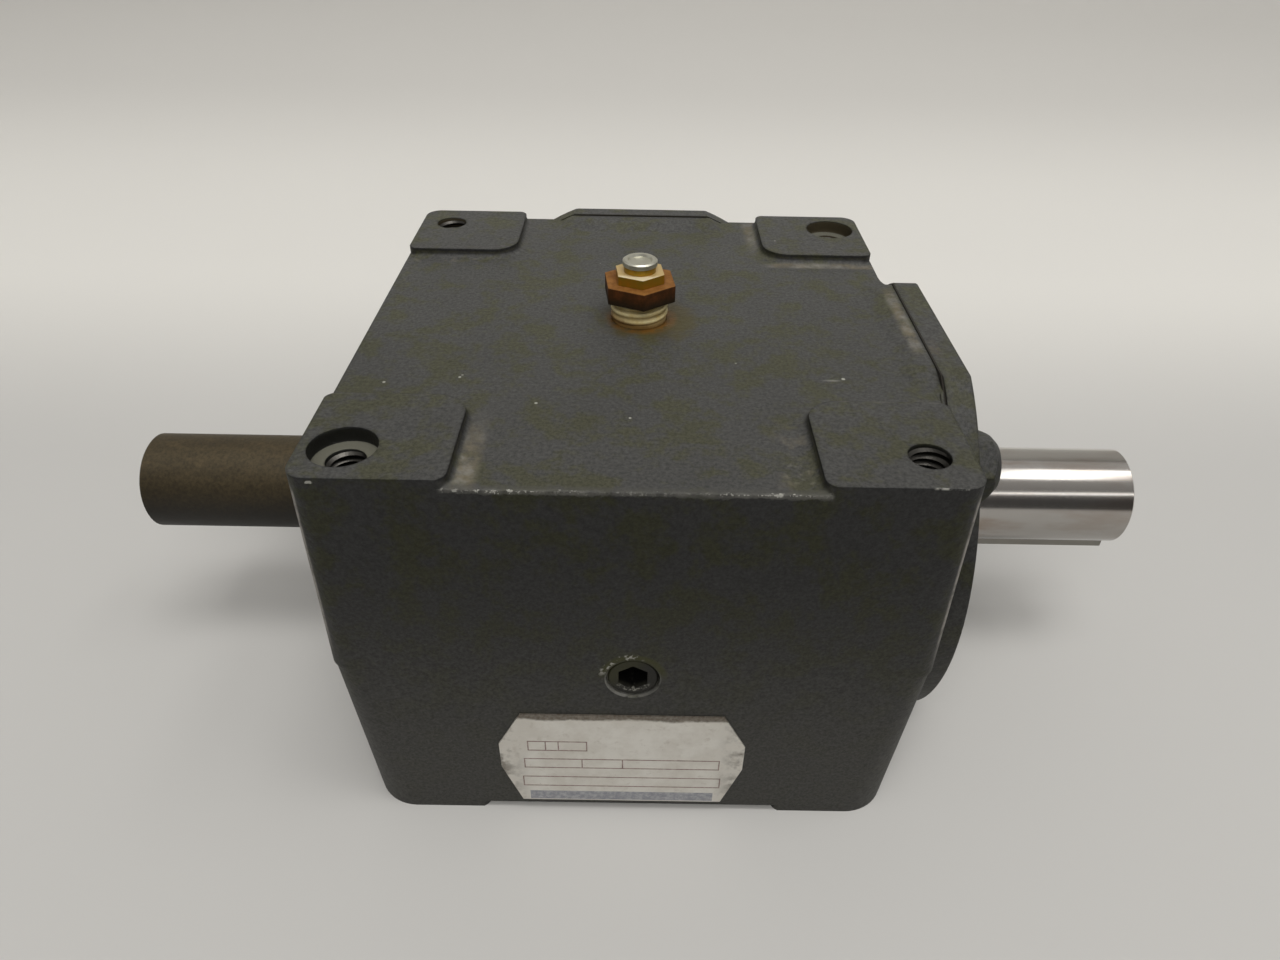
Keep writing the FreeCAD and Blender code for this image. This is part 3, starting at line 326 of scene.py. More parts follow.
def paint(name, detail=True, soften=True):
    """Painted iron with painted light: detail adds the housing's wear and painted light, soften rounds the
    sharp edges of the solids.
    """
    look = Look(name)
    facing_up = (0.55, 0.95) if detail else (0.25, 0.90)
    up = look.step(look.normal("Z"), *facing_up)
    patch = look.noise(8.0, detail=4.0, rough=0.68)
    cloud = look.noise(26.0, detail=4.0, rough=0.6, seed=5.0)
    grain = look.noise(0.8, detail=3.0, rough=0.75, seed=3.0)
    cast = look.noise(1.9, detail=3.0, rough=0.6, seed=11.0)
    # Slate with olive patches, paler towards the base as painted light from the floor
    olive = look.step(patch, 0.45, 0.62)
    colour = look.mix(olive, SLATE, SLATE_OLIVE)
    low = look.step(look.axis("Z"), 90.0, 12.0)
    colour = look.mix(look.times(low, 0.85), colour, SLATE_FLOOR_LIGHT)
    # What faces up is paler, partly a film of dust and partly painted light, and paler towards the rear as a
    # painted sheen
    film = look.mix(olive, DUST_AND_TOP_LIGHT, DUST_AND_TOP_LIGHT_OLIVE)
    film = look.shade(film, look.scaled(look.step(look.axis("Y"), -75.0, 75.0), 0.94, 1.16))
    colour = look.mix(look.times(up, look.scaled(cloud, 0.72, 1.12)), colour, film)
    colour = look.shade(colour, look.scaled(look.step(grain, 0.25, 0.75), 0.62, 1.40))
    rough = look.scaled(cast, 0.46, 0.66)
    metallic = 0.0
    if detail:
        colour, rough, metallic = housing_wear_and_light(look, colour, rough, up)
    else:
        colour = cap_light_and_dust(look, colour, up, patch)
    normal = look.bump(cast, 0.45, 0.40, look.rounded(1.2) if soften else None)
    normal = look.bump(grain, 0.45, 0.16, normal)
    return look.set(Base_Color=colour, Roughness=rough, Metallic=metallic, Normal=normal,
                    Specular_IOR_Level=0.25)


def cap_light_and_dust(look, colour, up, patch):
    """The right cap's face towards the housing is painted light above the seam, where it lies in shade, and
    its edge is dusty.
    """
    # Painted light on the face towards the housing, which lies in shade
    above_seam = look.step(look.axis("Z"), RECESS_TOP + 0.5, RECESS_TOP + 1.1)
    lip = look.times(look.step(look.normal("X"), -0.8, -0.95), above_seam)
    colour = look.mix(look.times(lip, 0.9), colour, CAP_FACE_LIGHT)
    by_seam = look.bell(look.axis("X"), SEAT_X + 1.5, 2.0)
    by_seam = look.times(by_seam, look.within(look.axis("Y"), -17.0, -9.0, 2.5))
    dust = look.times(by_seam, up, look.step(patch, 0.40, 0.60))
    return look.mix(look.times(dust, 0.5), colour, CAP_DUST)


def housing_wear_and_light(look, colour, rough, up):
    """Dust, oil, bare metal and chips on the housing, with painted light and highlights."""
    x = look.axis("X")
    y = look.axis("Y")
    z = look.axis("Z")
    # Places and masks that the kinds of wear share
    at = SimpleNamespace(x=x, y=y, z=z, up=up)
    at.across = look.math("ABSOLUTE", x)
    at.along = look.math("ABSOLUTE", y)
    at.front = look.step(y, -60.0, -66.0)
    at.rear_half = look.step(y, -10.0, 10.0)
    at.from_recess = look.step(z, RECESS_TOP - 0.8, RECESS_TOP - 0.4)
    at.on_recess = look.times(up, look.step(z, RECESS_TOP + 0.6, RECESS_TOP + 0.2), at.from_recess)
    at.clump = look.noise(3.0, detail=4.0, rough=0.72, seed=31.0)
    colour, dust = dust_and_wall_light(look, at, colour)
    colour, stain = breather_oil(look, at, colour)
    colour = bored_holes(look, at, colour)
    colour, edge_chips = broken_edges_and_highlight(look, at, colour)
    colour, plug_chips = plug_surround(look, at, colour)
    chip = look.most(edge_chips, top_specks(look, at), plug_chips)
    colour = look.mix(chip, colour, BARE_IRON)
    # Painted highlight down the rounded front corners
    colour = look.mix(look.times(corner_highlights(look, at), 0.9), colour, CORNER_HIGHLIGHT)
    rough = look.sum(rough, look.times(dust, 0.25))
    rough = look.less(rough, look.times(stain, 0.14))
    return colour, rough, look.times(chip, 0.35)


def pad_dust(look, at):
    """Dust beside the walls of the raised pads, broken into spots where there is little of it."""
    total = 0.0
    spots = look.step(look.noise(4.5, detail=3.0, rough=0.6, seed=37.0), 0.50, 0.64)
    for corner, (beside, before, width) in PAD_DUST.items():
        a, b = CORNERS[corner]
        across = look.times(at.x, a)
        along = look.times(at.y, b)
        side = look.bell(look.less(PAD_X, across), width * 0.85, width)
        side = look.times(side, look.step(along, PAD_Y, PAD_Y + 20.0))
        end = look.bell(look.less(PAD_Y, along), 2.8, 2.2)
        end = look.times(end, look.step(across, PAD_X - 2.0, PAD_X + 4.0))
        for mask, weight in ((side, beside), (end, before)):
            if weight < FULL_DUST:
                mask = look.times(mask, spots)
            total = look.most(total, look.times(mask, weight))
    return total


def dust_and_wall_light(look, at, colour):
    """Dust beside the pads and by the right cap's seam, painted light on the pads' walls, which lie in shade.
    Gives colour and dust.
    """
    dust = look.times(pad_dust(look, at), at.on_recess)
    on_rise = look.times(look.step(look.normal("Z"), 0.4, 0.8), at.from_recess)
    by_seam = look.times(look.bell(at.x, SEAT_X - 2.0, 2.1), look.within(at.y, -15.0, 17.0, 4.0), on_rise)
    dust = look.times(look.most(dust, by_seam), look.step(at.clump, 0.18, 0.74))
    pale = look.step(look.noise(5.0, detail=3.0, rough=0.6, seed=33.0), 0.4, 0.65)
    colour = look.mix(look.times(dust, 0.95), colour, look.mix(pale, DUST_BROWN, DUST_PALE))
    # Painted light on the pads' thin walls, which lie in shade, in patches
    wall = look.times(look.within(at.z, RECESS_TOP + 1.1, TOP - 0.7, 0.3), look.less(1.0, at.up))
    wall = look.times(wall, look.step(at.along, HOLE_Y + 9.5, HOLE_Y + 8.5))
    patchy = look.step(look.noise(2.0, detail=3.0, rough=0.6, seed=35.0), 0.30, 0.60)
    wall_light = look.mix(at.rear_half, WALL_LIGHT_FRONT, WALL_LIGHT_REAR)
    colour = look.mix(look.times(wall, patchy, 0.7), colour, wall_light)
    # Pale line on the rear edges of the front pads, worn paint with a painted highlight
    rear_edge = look.distance(look.sum(at.y, PAD_Y), look.less(at.z, TOP))
    worn = look.times(look.step(rear_edge, 0.8, 0.2), look.step(at.across, PAD_X + 5.0, PAD_X + 9.0))
    worn = look.times(worn, look.step(at.clump, 0.35, 0.6))
    return look.mix(look.times(worn, 0.5), colour, WORN_EDGE_HIGHLIGHT), dust


def breather_oil(look, at, colour):
    """Oil that has spread from the breather, mostly to the right, and rusty water at its foot."""
    from_vent = look.distance(look.less(at.x, 2.6), look.less(at.y, VENT_Y - 0.6))
    ragged = look.less(look.noise(6.0, detail=3.0, rough=0.6, seed=41.0), 0.5)
    spread = look.sum(from_vent, look.times(ragged, 12.0))
    stain = look.times(look.step(spread, 14.5, 7.5), at.on_recess)
    colour = look.mix(look.times(stain, 0.72), colour, OIL)
    foot = look.step(look.distance(look.less(at.x, 0.6), look.less(at.y, VENT_Y - 0.5)), 9.6, 7.2)
    foot = look.times(foot, at.on_recess, look.step(at.clump, 0.30, 0.55))
    return look.mix(look.times(foot, 0.85), colour, RUSTY_WATER), stain


def bored_holes(look, at, colour):
    """Dark walls of the holes in the pads, machined floors of the counterbores."""
    from_hole = look.distance(look.less(at.across, HOLE_X), look.less(at.along, HOLE_Y))
    in_hole = look.times(look.step(from_hole, 7.1, 6.9), look.step(at.z, 78.0, 80.0))
    in_hole = look.times(in_hole, look.step(at.z, TOP - 0.1, TOP - 0.4))
    wall_tone = look.mix(at.rear_half, BORE_FRONT, BORE_REAR)
    colour = look.mix(look.times(in_hole, look.less(1.0, at.up), 0.85), colour, wall_tone)
    on_floor = look.step(at.z, COUNTERBORE_FLOOR - 0.8, COUNTERBORE_FLOOR - 0.3)
    return look.mix(look.times(in_hole, at.up, on_floor, 0.9), colour, BORED_FLOOR)


def broken_edges_and_highlight(look, at, colour):
    """Broken paint along the front edge of the recess, with a painted highlight on the edge, nicks on the
    front pads. Gives colour and chips.
    """
    breaks = look.noise(1.7, detail=4.0, rough=0.78, seed=51.0)
    wave = look.noise(3.0, detail=4.0, rough=0.7, seed=55.0)
    to_edge = look.distance(look.less(at.y, FRONT_TOP), look.less(at.z, RECESS_TOP))
    middle = look.times(look.step(at.across, PAD_X + 2.0, PAD_X + 0.5), at.front)
    # Thin paint in an uneven band, and a paler line on the edge itself, worn and with a painted highlight
    depth = look.less(RECESS_TOP, at.z)
    band = look.times(middle, look.step(look.less(look.scaled(wave, -0.6, 2.4), depth), -0.1, 0.25))
    band = look.times(band, look.step(to_edge, 2.2, 1.2))
    colour = look.mix(look.times(band, 0.5), colour, EDGE_BAND)
    line = look.times(middle, look.step(to_edge, 0.95, 0.2), look.step(at.clump, 0.30, 0.70))
    colour = look.mix(look.times(line, 0.5), colour, EDGE_WEAR_HIGHLIGHT)
    # Bare chips, dense in some places
    reach = look.scaled(look.step(breaks, 0.47, 0.66), -0.12, 0.80)
    in_places = look.step(look.noise(6.5, detail=2.0, rough=0.5, seed=57.0), 0.46, 0.60)
    in_places = look.scaled(in_places, 0.15, 0.85)
    chip = look.times(look.step(look.less(reach, to_edge), 0.0, 0.12), middle, in_places)
    # Nicks on the right pad's edge, and one chip below the left pad's corner
    pad_edge = look.distance(look.less(at.y, FRONT_TOP + 0.04), look.less(at.z, TOP))
    nick = look.times(look.step(pad_edge, 0.42, 0.18), look.within(at.x, 54.8, 61.6, 0.6))
    nick = look.times(nick, look.step(at.clump, 0.36, 0.52))
    corner = look.distance(look.times(look.sum(at.x, 59.9), 0.5), look.less(at.z, TOP - 1.0))
    corner = look.sum(corner, look.times(look.less(breaks, 0.5), 1.6))
    corner = look.times(look.step(corner, 0.42, 0.25), at.front, look.within(at.x, -62.0, -58.0, 0.3))
    return colour, look.most(chip, look.times(nick, 0.8), look.times(corner, 0.7))


def top_specks(look, at):
    """Specks, flecks and a scratch on what faces up."""
    from_scratch = look.distance(look.times(look.less(at.x, 43.2), 0.22), look.less(at.y, -26.9))
    fleck = look.math("LESS_THAN", look.cells(15.0, seed=4.0), 0.020)
    specks = look.most(look.times(look.step(from_scratch, 0.6, 0.1), 0.35), look.times(fleck, 0.5))
    for x, y, radius in SPECKS:
        specks = look.most(specks, look.spot(look.less(at.x, x), look.less(at.y, y), radius))
    return look.times(specks, at.up)


def plug_surround(look, at, colour):
    """Round the level plug: seeped oil, crumbs of paint and a bare ring. Gives colour and chips."""
    from_plug = look.distance(at.x, look.less(at.z, PLUG_Z))
    seep = look.times(look.bell(from_plug, 6.6, 1.6), at.front, look.step(at.z, PLUG_Z - 1.0, PLUG_Z + 3.0))
    colour = look.mix(look.times(seep, 0.7), colour, PLUG_SEEP)
    crumbs = look.times(look.bell(from_plug, 6.9, 1.1), look.step(at.z, PLUG_Z + 0.5, PLUG_Z + 3.0))
    crumbs = look.times(crumbs, look.step(look.noise(1.3, detail=3.0, rough=0.6, seed=63.0), 0.54, 0.62))
    crumbs = look.times(crumbs, look.step(at.x, 4.0, -2.0))
    ring = look.times(look.bell(from_plug, 6.02, 0.24), look.step(at.z, PLUG_Z + 4.0, PLUG_Z - 1.0))
    to_left = look.scaled(look.step(at.x, 3.0, -4.0), 0.20, 0.45)
    ring = look.times(ring, look.step(at.clump, 0.25, 0.55), to_left)
    return colour, look.times(look.most(look.times(crumbs, 0.7), ring), at.front)


def corner_highlights(look, at):
    """Painted highlight down the rounded front corners, where the paint is also rubbed thin."""
    turned = look.within(look.math("ABSOLUTE", look.normal("X")), 0.66, 0.93, 0.06)
    upper = look.times(look.step(at.z, 52.0, 66.0), look.step(at.z, TOP - 2.0, TOP - 5.0))
    return look.times(turned, look.step(at.y, -63.0, -65.0), upper, look.step(at.clump, 0.25, 0.6))


housing_paint = paint("housing_paint")
form_paint = paint("form_paint", soften=False)
cap_paint = paint("cap_paint", detail=False)
dress(housing_paint, "housing")
dress(cap_paint, "right_bearing_cap", "rear_bearing_cap", "right_cap_screws", "rear_cap_screws")


# Metals of the shafts, gears and bearings


def metal(name, dark, light, rough_low, rough_high, streak=(1.0, 1.0, 1.0), size=2.0, scratch=0.15):
    """Bare metal with fine marks and small changes of tone."""
    look = Look(name)
    marks = look.noise(size, detail=4.0, rough=0.6, stretch=streak)
    tone = look.noise(9.0, detail=3.0, rough=0.6, seed=5.0)
    colour = look.mix(look.scaled(tone, 0.1, 0.9), dark, light)
    rough = look.scaled(marks, rough_low, rough_high)
    return look.set(Base_Color=colour, Roughness=rough, Metallic=1.0, Normal=look.bump(marks, scratch, 0.03))


def shaft_steel():
    """Cross shaft: bright ground steel on the right end, an oxide film on the left end, both with painted
    shade below.
    """
    look = Look("shaft_steel")
    x = look.axis("X")
    z = look.axis("Z")
    rings = look.noise(0.5, detail=3.0, rough=0.6, stretch=(1.0, 60.0, 60.0))
    smear = look.noise(12.0, detail=4.0, rough=0.6, stretch=(2.5, 1.0, 1.0), seed=9.0)
    # Right end, with a thin brown film towards the cap
    film = look.noise(7.0, detail=4.0, rough=0.65, stretch=(4.0, 1.0, 1.0), seed=29.0)
    near_cap = look.scaled(look.step(x, 108.0, 78.0), 0.35, 0.95)
    film_tone = (0.31, 0.232, 0.180)
    bright = look.mix(smear, (0.40, 0.375, 0.35), (0.50, 0.49, 0.47))
    bright = look.mix(look.times(look.step(film, 0.44, 0.68), near_cap), bright, film_tone)
    # Painted shade on the lower side and painted light on the upper side
    bright = look.shade(bright, look.scaled(look.step(z, AXIS_Z - 9.0, AXIS_Z + 9.0), 0.80, 1.08))
    # Left end, mottled and grainy, with painted shade that darkens it below
    mottle = look.noise(2.6, detail=4.0, rough=0.7, stretch=(1.6, 1.0, 1.0), seed=23.0)
    grain = look.noise(0.9, detail=3.0, rough=0.7, seed=39.0)
    pale_oxide = (0.084, 0.061, 0.030)
    deep_oxide = (0.026, 0.021, 0.012)
    brown = look.mix(look.step(smear, 0.3, 0.7), (0.042, 0.031, 0.0145), (0.062, 0.047, 0.023))
    brown = look.mix(look.times(look.step(mottle, 0.45, 0.75), 0.6), brown, pale_oxide)
    brown = look.mix(look.times(look.step(mottle, 0.45, 0.25), 0.5), brown, deep_oxide)
    # Painted shade, darker below
    brown = look.shade(brown, look.scaled(look.step(z, AXIS_Z - 3.0, AXIS_Z + 12.5), 0.19, 1.20))
    brown = look.shade(brown, look.scaled(look.step(grain, 0.25, 0.75), 0.68, 1.30))
    right_end = look.step(x, -20.0, -10.0)
    bright_rough = look.times(right_end, look.scaled(rings, 0.11, 0.21))
    brown_rough = look.times(look.less(1.0, right_end), look.scaled(mottle, 0.46, 0.66))
    rough = look.sum(bright_rough, brown_rough)
    return look.set(Base_Color=look.mix(right_end, brown, bright), Roughness=rough,
                    Metallic=look.scaled(right_end, 0.25, 1.0), Normal=look.bump(rings, 0.08, 0.02))


dress(shaft_steel(), "output_shaft")
key_steel = metal("key_steel", (0.20, 0.19, 0.17), (0.31, 0.30, 0.27), 0.32, 0.48, streak=(8.0, 1.0, 1.0))
gear_steel = metal("gear_steel", (0.30, 0.30, 0.29), (0.42, 0.42, 0.41), 0.26, 0.42)
turned_steel = metal("turned_steel", (0.34, 0.34, 0.34), (0.47, 0.47, 0.46), 0.25, 0.40)
bearing_steel = metal("bearing_steel", (0.55, 0.55, 0.54), (0.66, 0.66, 0.65), 0.10, 0.20, size=1.0,
                      scratch=0.06)
cage_steel = metal("cage_steel", (0.42, 0.40, 0.35), (0.54, 0.52, 0.46), 0.30, 0.45)
dress(key_steel, "output_key", "gear_key")
dress(gear_steel, "bevel_gear", "pinion_shaft")
dress(turned_steel, "gear_spacer", "bearing_spacer", "locknut")
for side in ("left", "right", "input_front", "input_rear"):
    dress(bearing_steel, side + "_bearing_cup", side + "_bearing_cone", side + "_rollers")
    dress(cage_steel, side + "_cage")


# Seals and gaskets


def dull(name, size, detail, rough, dark, light, roughness, relief):
    """Rubber or fibre: one cloudy tone gives colour, roughness and relief."""
    look = Look(name)
    tone = look.noise(size, detail=detail, rough=rough)
    return look.set(Base_Color=look.mix(tone, dark, light), Roughness=look.scaled(tone, *roughness),
                    Normal=look.bump(tone, relief, 0.1))


seal_rubber = dull("seal_rubber", size=2.0, detail=3.0, rough=0.6, dark=(0.012, 0.012, 0.013),
                   light=(0.034, 0.032, 0.030), roughness=(0.45, 0.7), relief=0.2)
gasket_fibre = dull("gasket_fibre", size=1.2, detail=4.0, rough=0.7, dark=(0.010, 0.009, 0.007),
                    light=(0.035, 0.030, 0.022), roughness=(0.75, 0.95), relief=0.3)
dress(seal_rubber, "left_oil_seal", "right_oil_seal", "input_oil_seal")
dress(gasket_fibre, "right_gasket", "rear_gasket")


# Breather: rusted bushing on a zinc thread, brass body, bright dished cap


def bushing_look():
    """Rusty hexagon with oily sides, zinc thread that is wet at its foot, more so on the left."""
    look = Look("rusted_bushing")
    x = look.axis("X")
    z = look.axis("Z")
    rust = look.noise(2.4, detail=4.0, rough=0.7)
    fine = look.noise(0.6, detail=3.0, rough=0.7, seed=13.0)
    facing_up = look.step(look.normal("Z"), 0.3, 0.7)
    top = look.mix(look.step(rust, 0.3, 0.7), (0.175, 0.065, 0.011), (0.29, 0.130, 0.030))
    side = look.mix(look.step(rust, 0.40, 0.75), (0.052, 0.0190, 0.0040), (0.120, 0.038, 0.009))
    oily = look.times(look.step(z, HEX_LOW + 3.0, HEX_LOW + 0.4), 0.8)
    side = look.mix(oily, side, (0.013, 0.011, 0.005))
    hexagon = look.mix(facing_up, side, top)
    pale_rust = look.times(look.step(fine, 0.6, 0.8), 0.3, facing_up)
    hexagon = look.mix(pale_rust, hexagon, (0.34, 0.19, 0.095))
    zinc = look.mix(look.step(rust, 0.40, 0.75), (0.95, 0.83, 0.47), (0.78, 0.60, 0.25))
    dry = look.sum(look.times(rust, 2.4), look.times(x, 0.14))
    wet = look.step(look.sum(z, dry), RECESS_TOP + 3.4, RECESS_TOP + 1.6)
    zinc = look.mix(look.times(wet, 0.85), zinc, (0.23, 0.105, 0.020))
    # Painted shade in the roots of the thread
    root = look.step(look.distance(x, look.less(look.axis("Y"), VENT_Y)), 6.98, 6.74)
    zinc = look.mix(look.times(root, 0.4), zinc, (0.24, 0.140, 0.036))
    on_hex = look.step(z, HEX_LOW - 0.1, HEX_LOW + 0.02)
    rough = look.sum(look.times(on_hex, 0.30), look.scaled(fine, 0.30, 0.46))
    return look.set(Base_Color=look.mix(on_hex, zinc, hexagon), Roughness=rough,
                    Metallic=look.scaled(on_hex, 0.25, 0.05), Specular_IOR_Level=0.3,
                    Normal=look.bump(fine, 0.3, 0.12, look.rounded(0.35)))


def brass_look():
    """Tarnished brass: amber flanks, a golden face with a painted highlight along its front edge."""
    look = Look("brass")
    tarnish = look.noise(2.2, detail=4.0, rough=0.65)
    fine = look.noise(0.5, detail=3.0, rough=0.6, seed=17.0)
    up = look.step(look.normal("Z"), 0.3, 0.7)
    flank = look.mix(look.step(tarnish, 0.35, 0.7), (0.31, 0.20, 0.016), (0.39, 0.19, 0.012))
    # Painted highlight along the face's front edge
    near = look.sum(look.axis("Y"), look.scaled(tarnish, -1.0, 1.0))
    near = look.step(near, VENT_Y - 2.6, VENT_Y - 4.4)
    face = look.mix(near, (0.60, 0.43, 0.18), (0.97, 0.85, 0.58))
    normal = look.bump(fine, 0.15, 0.05, look.rounded(0.3))
    return look.set(Base_Color=look.mix(up, flank, face), Roughness=look.scaled(fine, 0.28, 0.46),
                    Metallic=look.scaled(up, 0.55, 0.25), Normal=normal)


bushing_material = bushing_look()
dress(bushing_material, "breather_bushing")
dress(brass_look(), "breather_body")
dress(metal("zinc_cap", (0.58, 0.57, 0.48), (0.75, 0.74, 0.65), 0.30, 0.46, size=0.8), "breather_cap")


# Socket plugs, dark with a rim worn bright and painted shade deep in the socket


def plug_look():
    look = Look("plug_steel")
    x = look.axis("X")
    z = look.axis("Z")
    worn = look.noise(1.6, detail=3.0, rough=0.6)
    crumb = look.noise(0.8, detail=3.0, rough=0.6, seed=27.0)
    radius = look.distance(x, look.less(z, PLUG_Z))
    low = look.step(look.sum(z, look.times(x, 0.4)), PLUG_Z + 3.0, PLUG_Z - 2.5)
    rim = look.times(look.bell(radius, 5.72, 0.24), look.scaled(low, 0.15, 1.0), look.step(worn, 0.30, 0.50))
    nicks = look.times(look.bell(radius, 3.9, 0.7), look.step(z, PLUG_Z - 1.6, PLUG_Z - 2.8))
    nicks = look.times(nicks, look.step(crumb, 0.5, 0.6))
    olive = look.step(look.less(z, x), PLUG_Z - 1.0, PLUG_Z + 5.0)
    dark = look.mix(worn, (0.009, 0.009, 0.007), (0.020, 0.019, 0.015))
    dark = look.mix(look.times(olive, 0.7), dark, (0.032, 0.032, 0.011))
    bare = look.most(look.times(rim, 0.75), look.times(nicks, 0.5))
    colour = look.mix(bare, dark, (0.42, 0.41, 0.36))
    # Painted shade deep in the hex socket
    inside = look.step(look.axis("Y"), FRONT_MID + 0.9, FRONT_MID + 2.2)
    inside = look.times(look.step(radius, 4.0, 3.6), inside)
    colour = look.mix(look.times(inside, 0.92), colour, (0.003, 0.003, 0.003))
    return look.set(Base_Color=colour, Roughness=look.scaled(worn, 0.38, 0.58), Specular_IOR_Level=0.25,
                    Metallic=look.scaled(rim, 0.05, 0.5), Normal=look.bump(worn, 0.2, 0.1))


dress(plug_look(), "level_plug", "drain_plug")


# Foil plate with soiled edges, and the inks of its boxes and band


def foil_look():
    look = Look("foil")
    cloud = look.noise(6.0, detail=4.0, rough=0.65)
    fine = look.noise(0.7, detail=3.0, rough=0.6, seed=19.0)
    colour = look.mix(look.step(cloud, 0.3, 0.7), (0.66, 0.63, 0.575), (0.77, 0.75, 0.70))
    side = look.step(look.math("ABSOLUTE", look.sum(look.axis("X"), 2.3)), 21.0, 29.0)
    side = look.times(side, look.step(cloud, 0.42, 0.60), 0.85)
    upper = look.sum(look.axis("Z"), look.times(look.less(cloud, 0.5), 3.0))
    edge = look.most(look.step(upper, 34.5, 35.5), side)
    colour = look.mix(look.times(edge, look.scaled(fine, 0.60, 1.1)), colour, (0.085, 0.062, 0.038))
    stain = look.step(look.noise(3.2, detail=4.0, rough=0.7, seed=47.0), 0.54, 0.72)
    colour = look.mix(look.times(stain, 0.35), colour, (0.42, 0.37, 0.31))
    spots = look.step(fine, 0.66, 0.74)
    colour = look.mix(look.times(spots, 0.35), colour, (0.26, 0.22, 0.18))
    return look.set(Base_Color=colour, Roughness=look.scaled(cloud, 0.36, 0.52), Metallic=0.55,
                    Normal=look.bump(cloud, 0.15, 0.1))


def ink_look(name, dark, light):
    look = Look(name)
    worn = look.noise(1.4, detail=4.0, rough=0.7)
    colour = look.mix(look.step(worn, 0.35, 0.75), dark, light)
    return look.set(Base_Color=colour, Roughness=look.scaled(worn, 0.45, 0.6))


dress(foil_look(), "plate")
rule_ink = ink_look("rule_ink", (0.19, 0.115, 0.100), (0.42, 0.33, 0.30))
band_ink = ink_look("band_ink", (0.24, 0.247, 0.275), (0.46, 0.46, 0.475))


# New meshes, all in millimetres


def mesh_piece(name, points, faces, material, body, smooth=False):
    """A new mesh that rides on a body."""
    data = bpy.data.meshes.new(name)
    data.from_pydata([Vector(p) * MM for p in points], [], faces)
    data.update()
    if smooth:
        data.polygons.foreach_set("use_smooth", [True] * len(data.polygons))
    data.materials.append(material)
    piece = bpy.data.objects.new(name, data)
    bpy.context.scene.collection.objects.link(piece)
    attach(piece, body)
    return piece


def outward(piece):
    """Turns the faces of a closed mesh to the outside."""
    tidy = bmesh.new()
    tidy.from_mesh(piece.data)
    bmesh.ops.recalc_face_normals(tidy, faces=tidy.faces)
    tidy.to_mesh(piece.data)
    tidy.free()


# Soft forms of the casting. Each is sunk a little into the solid that it lies on
SUNK = 0.2
SHARP_ANGLE = math.radians(35.0)
FILLET_STEPS = 8
FILLET_REACH = 2.6
FILLET_RISE = 1.75
FLARE_TURN = math.radians(50.0)
FLARE_STEPS = 4
FLARE_END_SIZE = 0.15
CORNER_STEPS = 12


def swept(name, sections):
    """A closed solid of the casting through closed sections of equal length."""
    count = len(sections[0])
    points = [point for section in sections for point in section]
    faces = []
    for i in range(len(sections) - 1):
        for k in range(count):
            m = (k + 1) % count
            faces.append((i * count + k, i * count + m, (i + 1) * count + m, (i + 1) * count + k))
    last = len(points) - count
    faces.append(tuple(range(count)))
    faces.append(tuple(reversed(range(last, last + count))))
    piece = mesh_piece(name, points, faces, form_paint, "housing", smooth=True)
    outward(piece)
    piece.data.set_sharp_from_angle(angle=SHARP_ANGLE)


def fillet_profile(reach, rise):
    """Closed section of a hollow fillet: distance from the wall and height over the foot."""
    profile = [(-SUNK, rise), (-SUNK, -SUNK), (reach, -SUNK)]
    for i in range(FILLET_STEPS + 1):
        turn = math.pi / 2 * i / FILLET_STEPS
        profile.append((reach * (1.0 - math.sin(turn)), rise * (1.0 - math.cos(turn))))
    return profile


def pad_path():
    """Foot of a pad's inner walls in the first quadrant, as arcs: centre, radius, direction off the wall, and
    size of the fillet, which fades at both ends."""
    path = []
    for i in range(FLARE_STEPS + 1):
        turn = FLARE_TURN * (1.0 - i / FLARE_STEPS)
        away = (-math.cos(turn), math.sin(turn))
        size = FLARE_END_SIZE + (1.0 - FLARE_END_SIZE) * i / FLARE_STEPS
        path.append((PAD_X + PAD_FLARE, PAD_FRONT_END - PAD_FLARE, PAD_FLARE, away, size))
    for i in range(CORNER_STEPS + 1):
        turn = math.pi / 2 * i / CORNER_STEPS
        away = (-math.cos(turn), -math.sin(turn))
        path.append((PAD_X + PAD_CORNER, PAD_Y + PAD_CORNER, PAD_CORNER, away, 1.0))
    for i in range(FLARE_STEPS + 1):
        turn = FLARE_TURN * i / FLARE_STEPS
        away = (math.sin(turn), -math.cos(turn))
        size = 1.0 - (1.0 - FLARE_END_SIZE) * i / FLARE_STEPS
        path.append((PAD_SIDE_END - PAD_FLARE, PAD_Y + PAD_FLARE, PAD_FLARE, away, size))
    return path


def pad_fillet(name, a, b):
    """Fillet at the foot of one pad's walls, a and b being the signs of its corner."""
    sections = []
    for centre_x, centre_y, radius, (out_x, out_y), size in pad_path():
        section = []
        for d, h in fillet_profile(FILLET_REACH * size, FILLET_RISE * size):
            x = centre_x + out_x * (radius + d)
            y = centre_y + out_y * (radius + d)
            section.append((a * x, b * y, RECESS_TOP + h))
        sections.append(section)
    swept(name, sections)


for corner, (a, b) in CORNERS.items():
    pad_fillet("pad_fillet_" + corner, a, b)


# Rises, where the round bosses behind the caps swell out of the recess
RISE_TOP = 101.0
RISE_RUN = 9.0
RISE_FLAT = 1.6
RISE_FOOT = 0.06
RISE_STEPS = 60
RUN_STEPS = 10
SEAT_GAP = 0.02


def ease(value):
    """Smooth step of a value from 0 to 1."""
    value = min(1.0, max(0.0, value))
    return value * value * (3.0 - 2.0 * value)


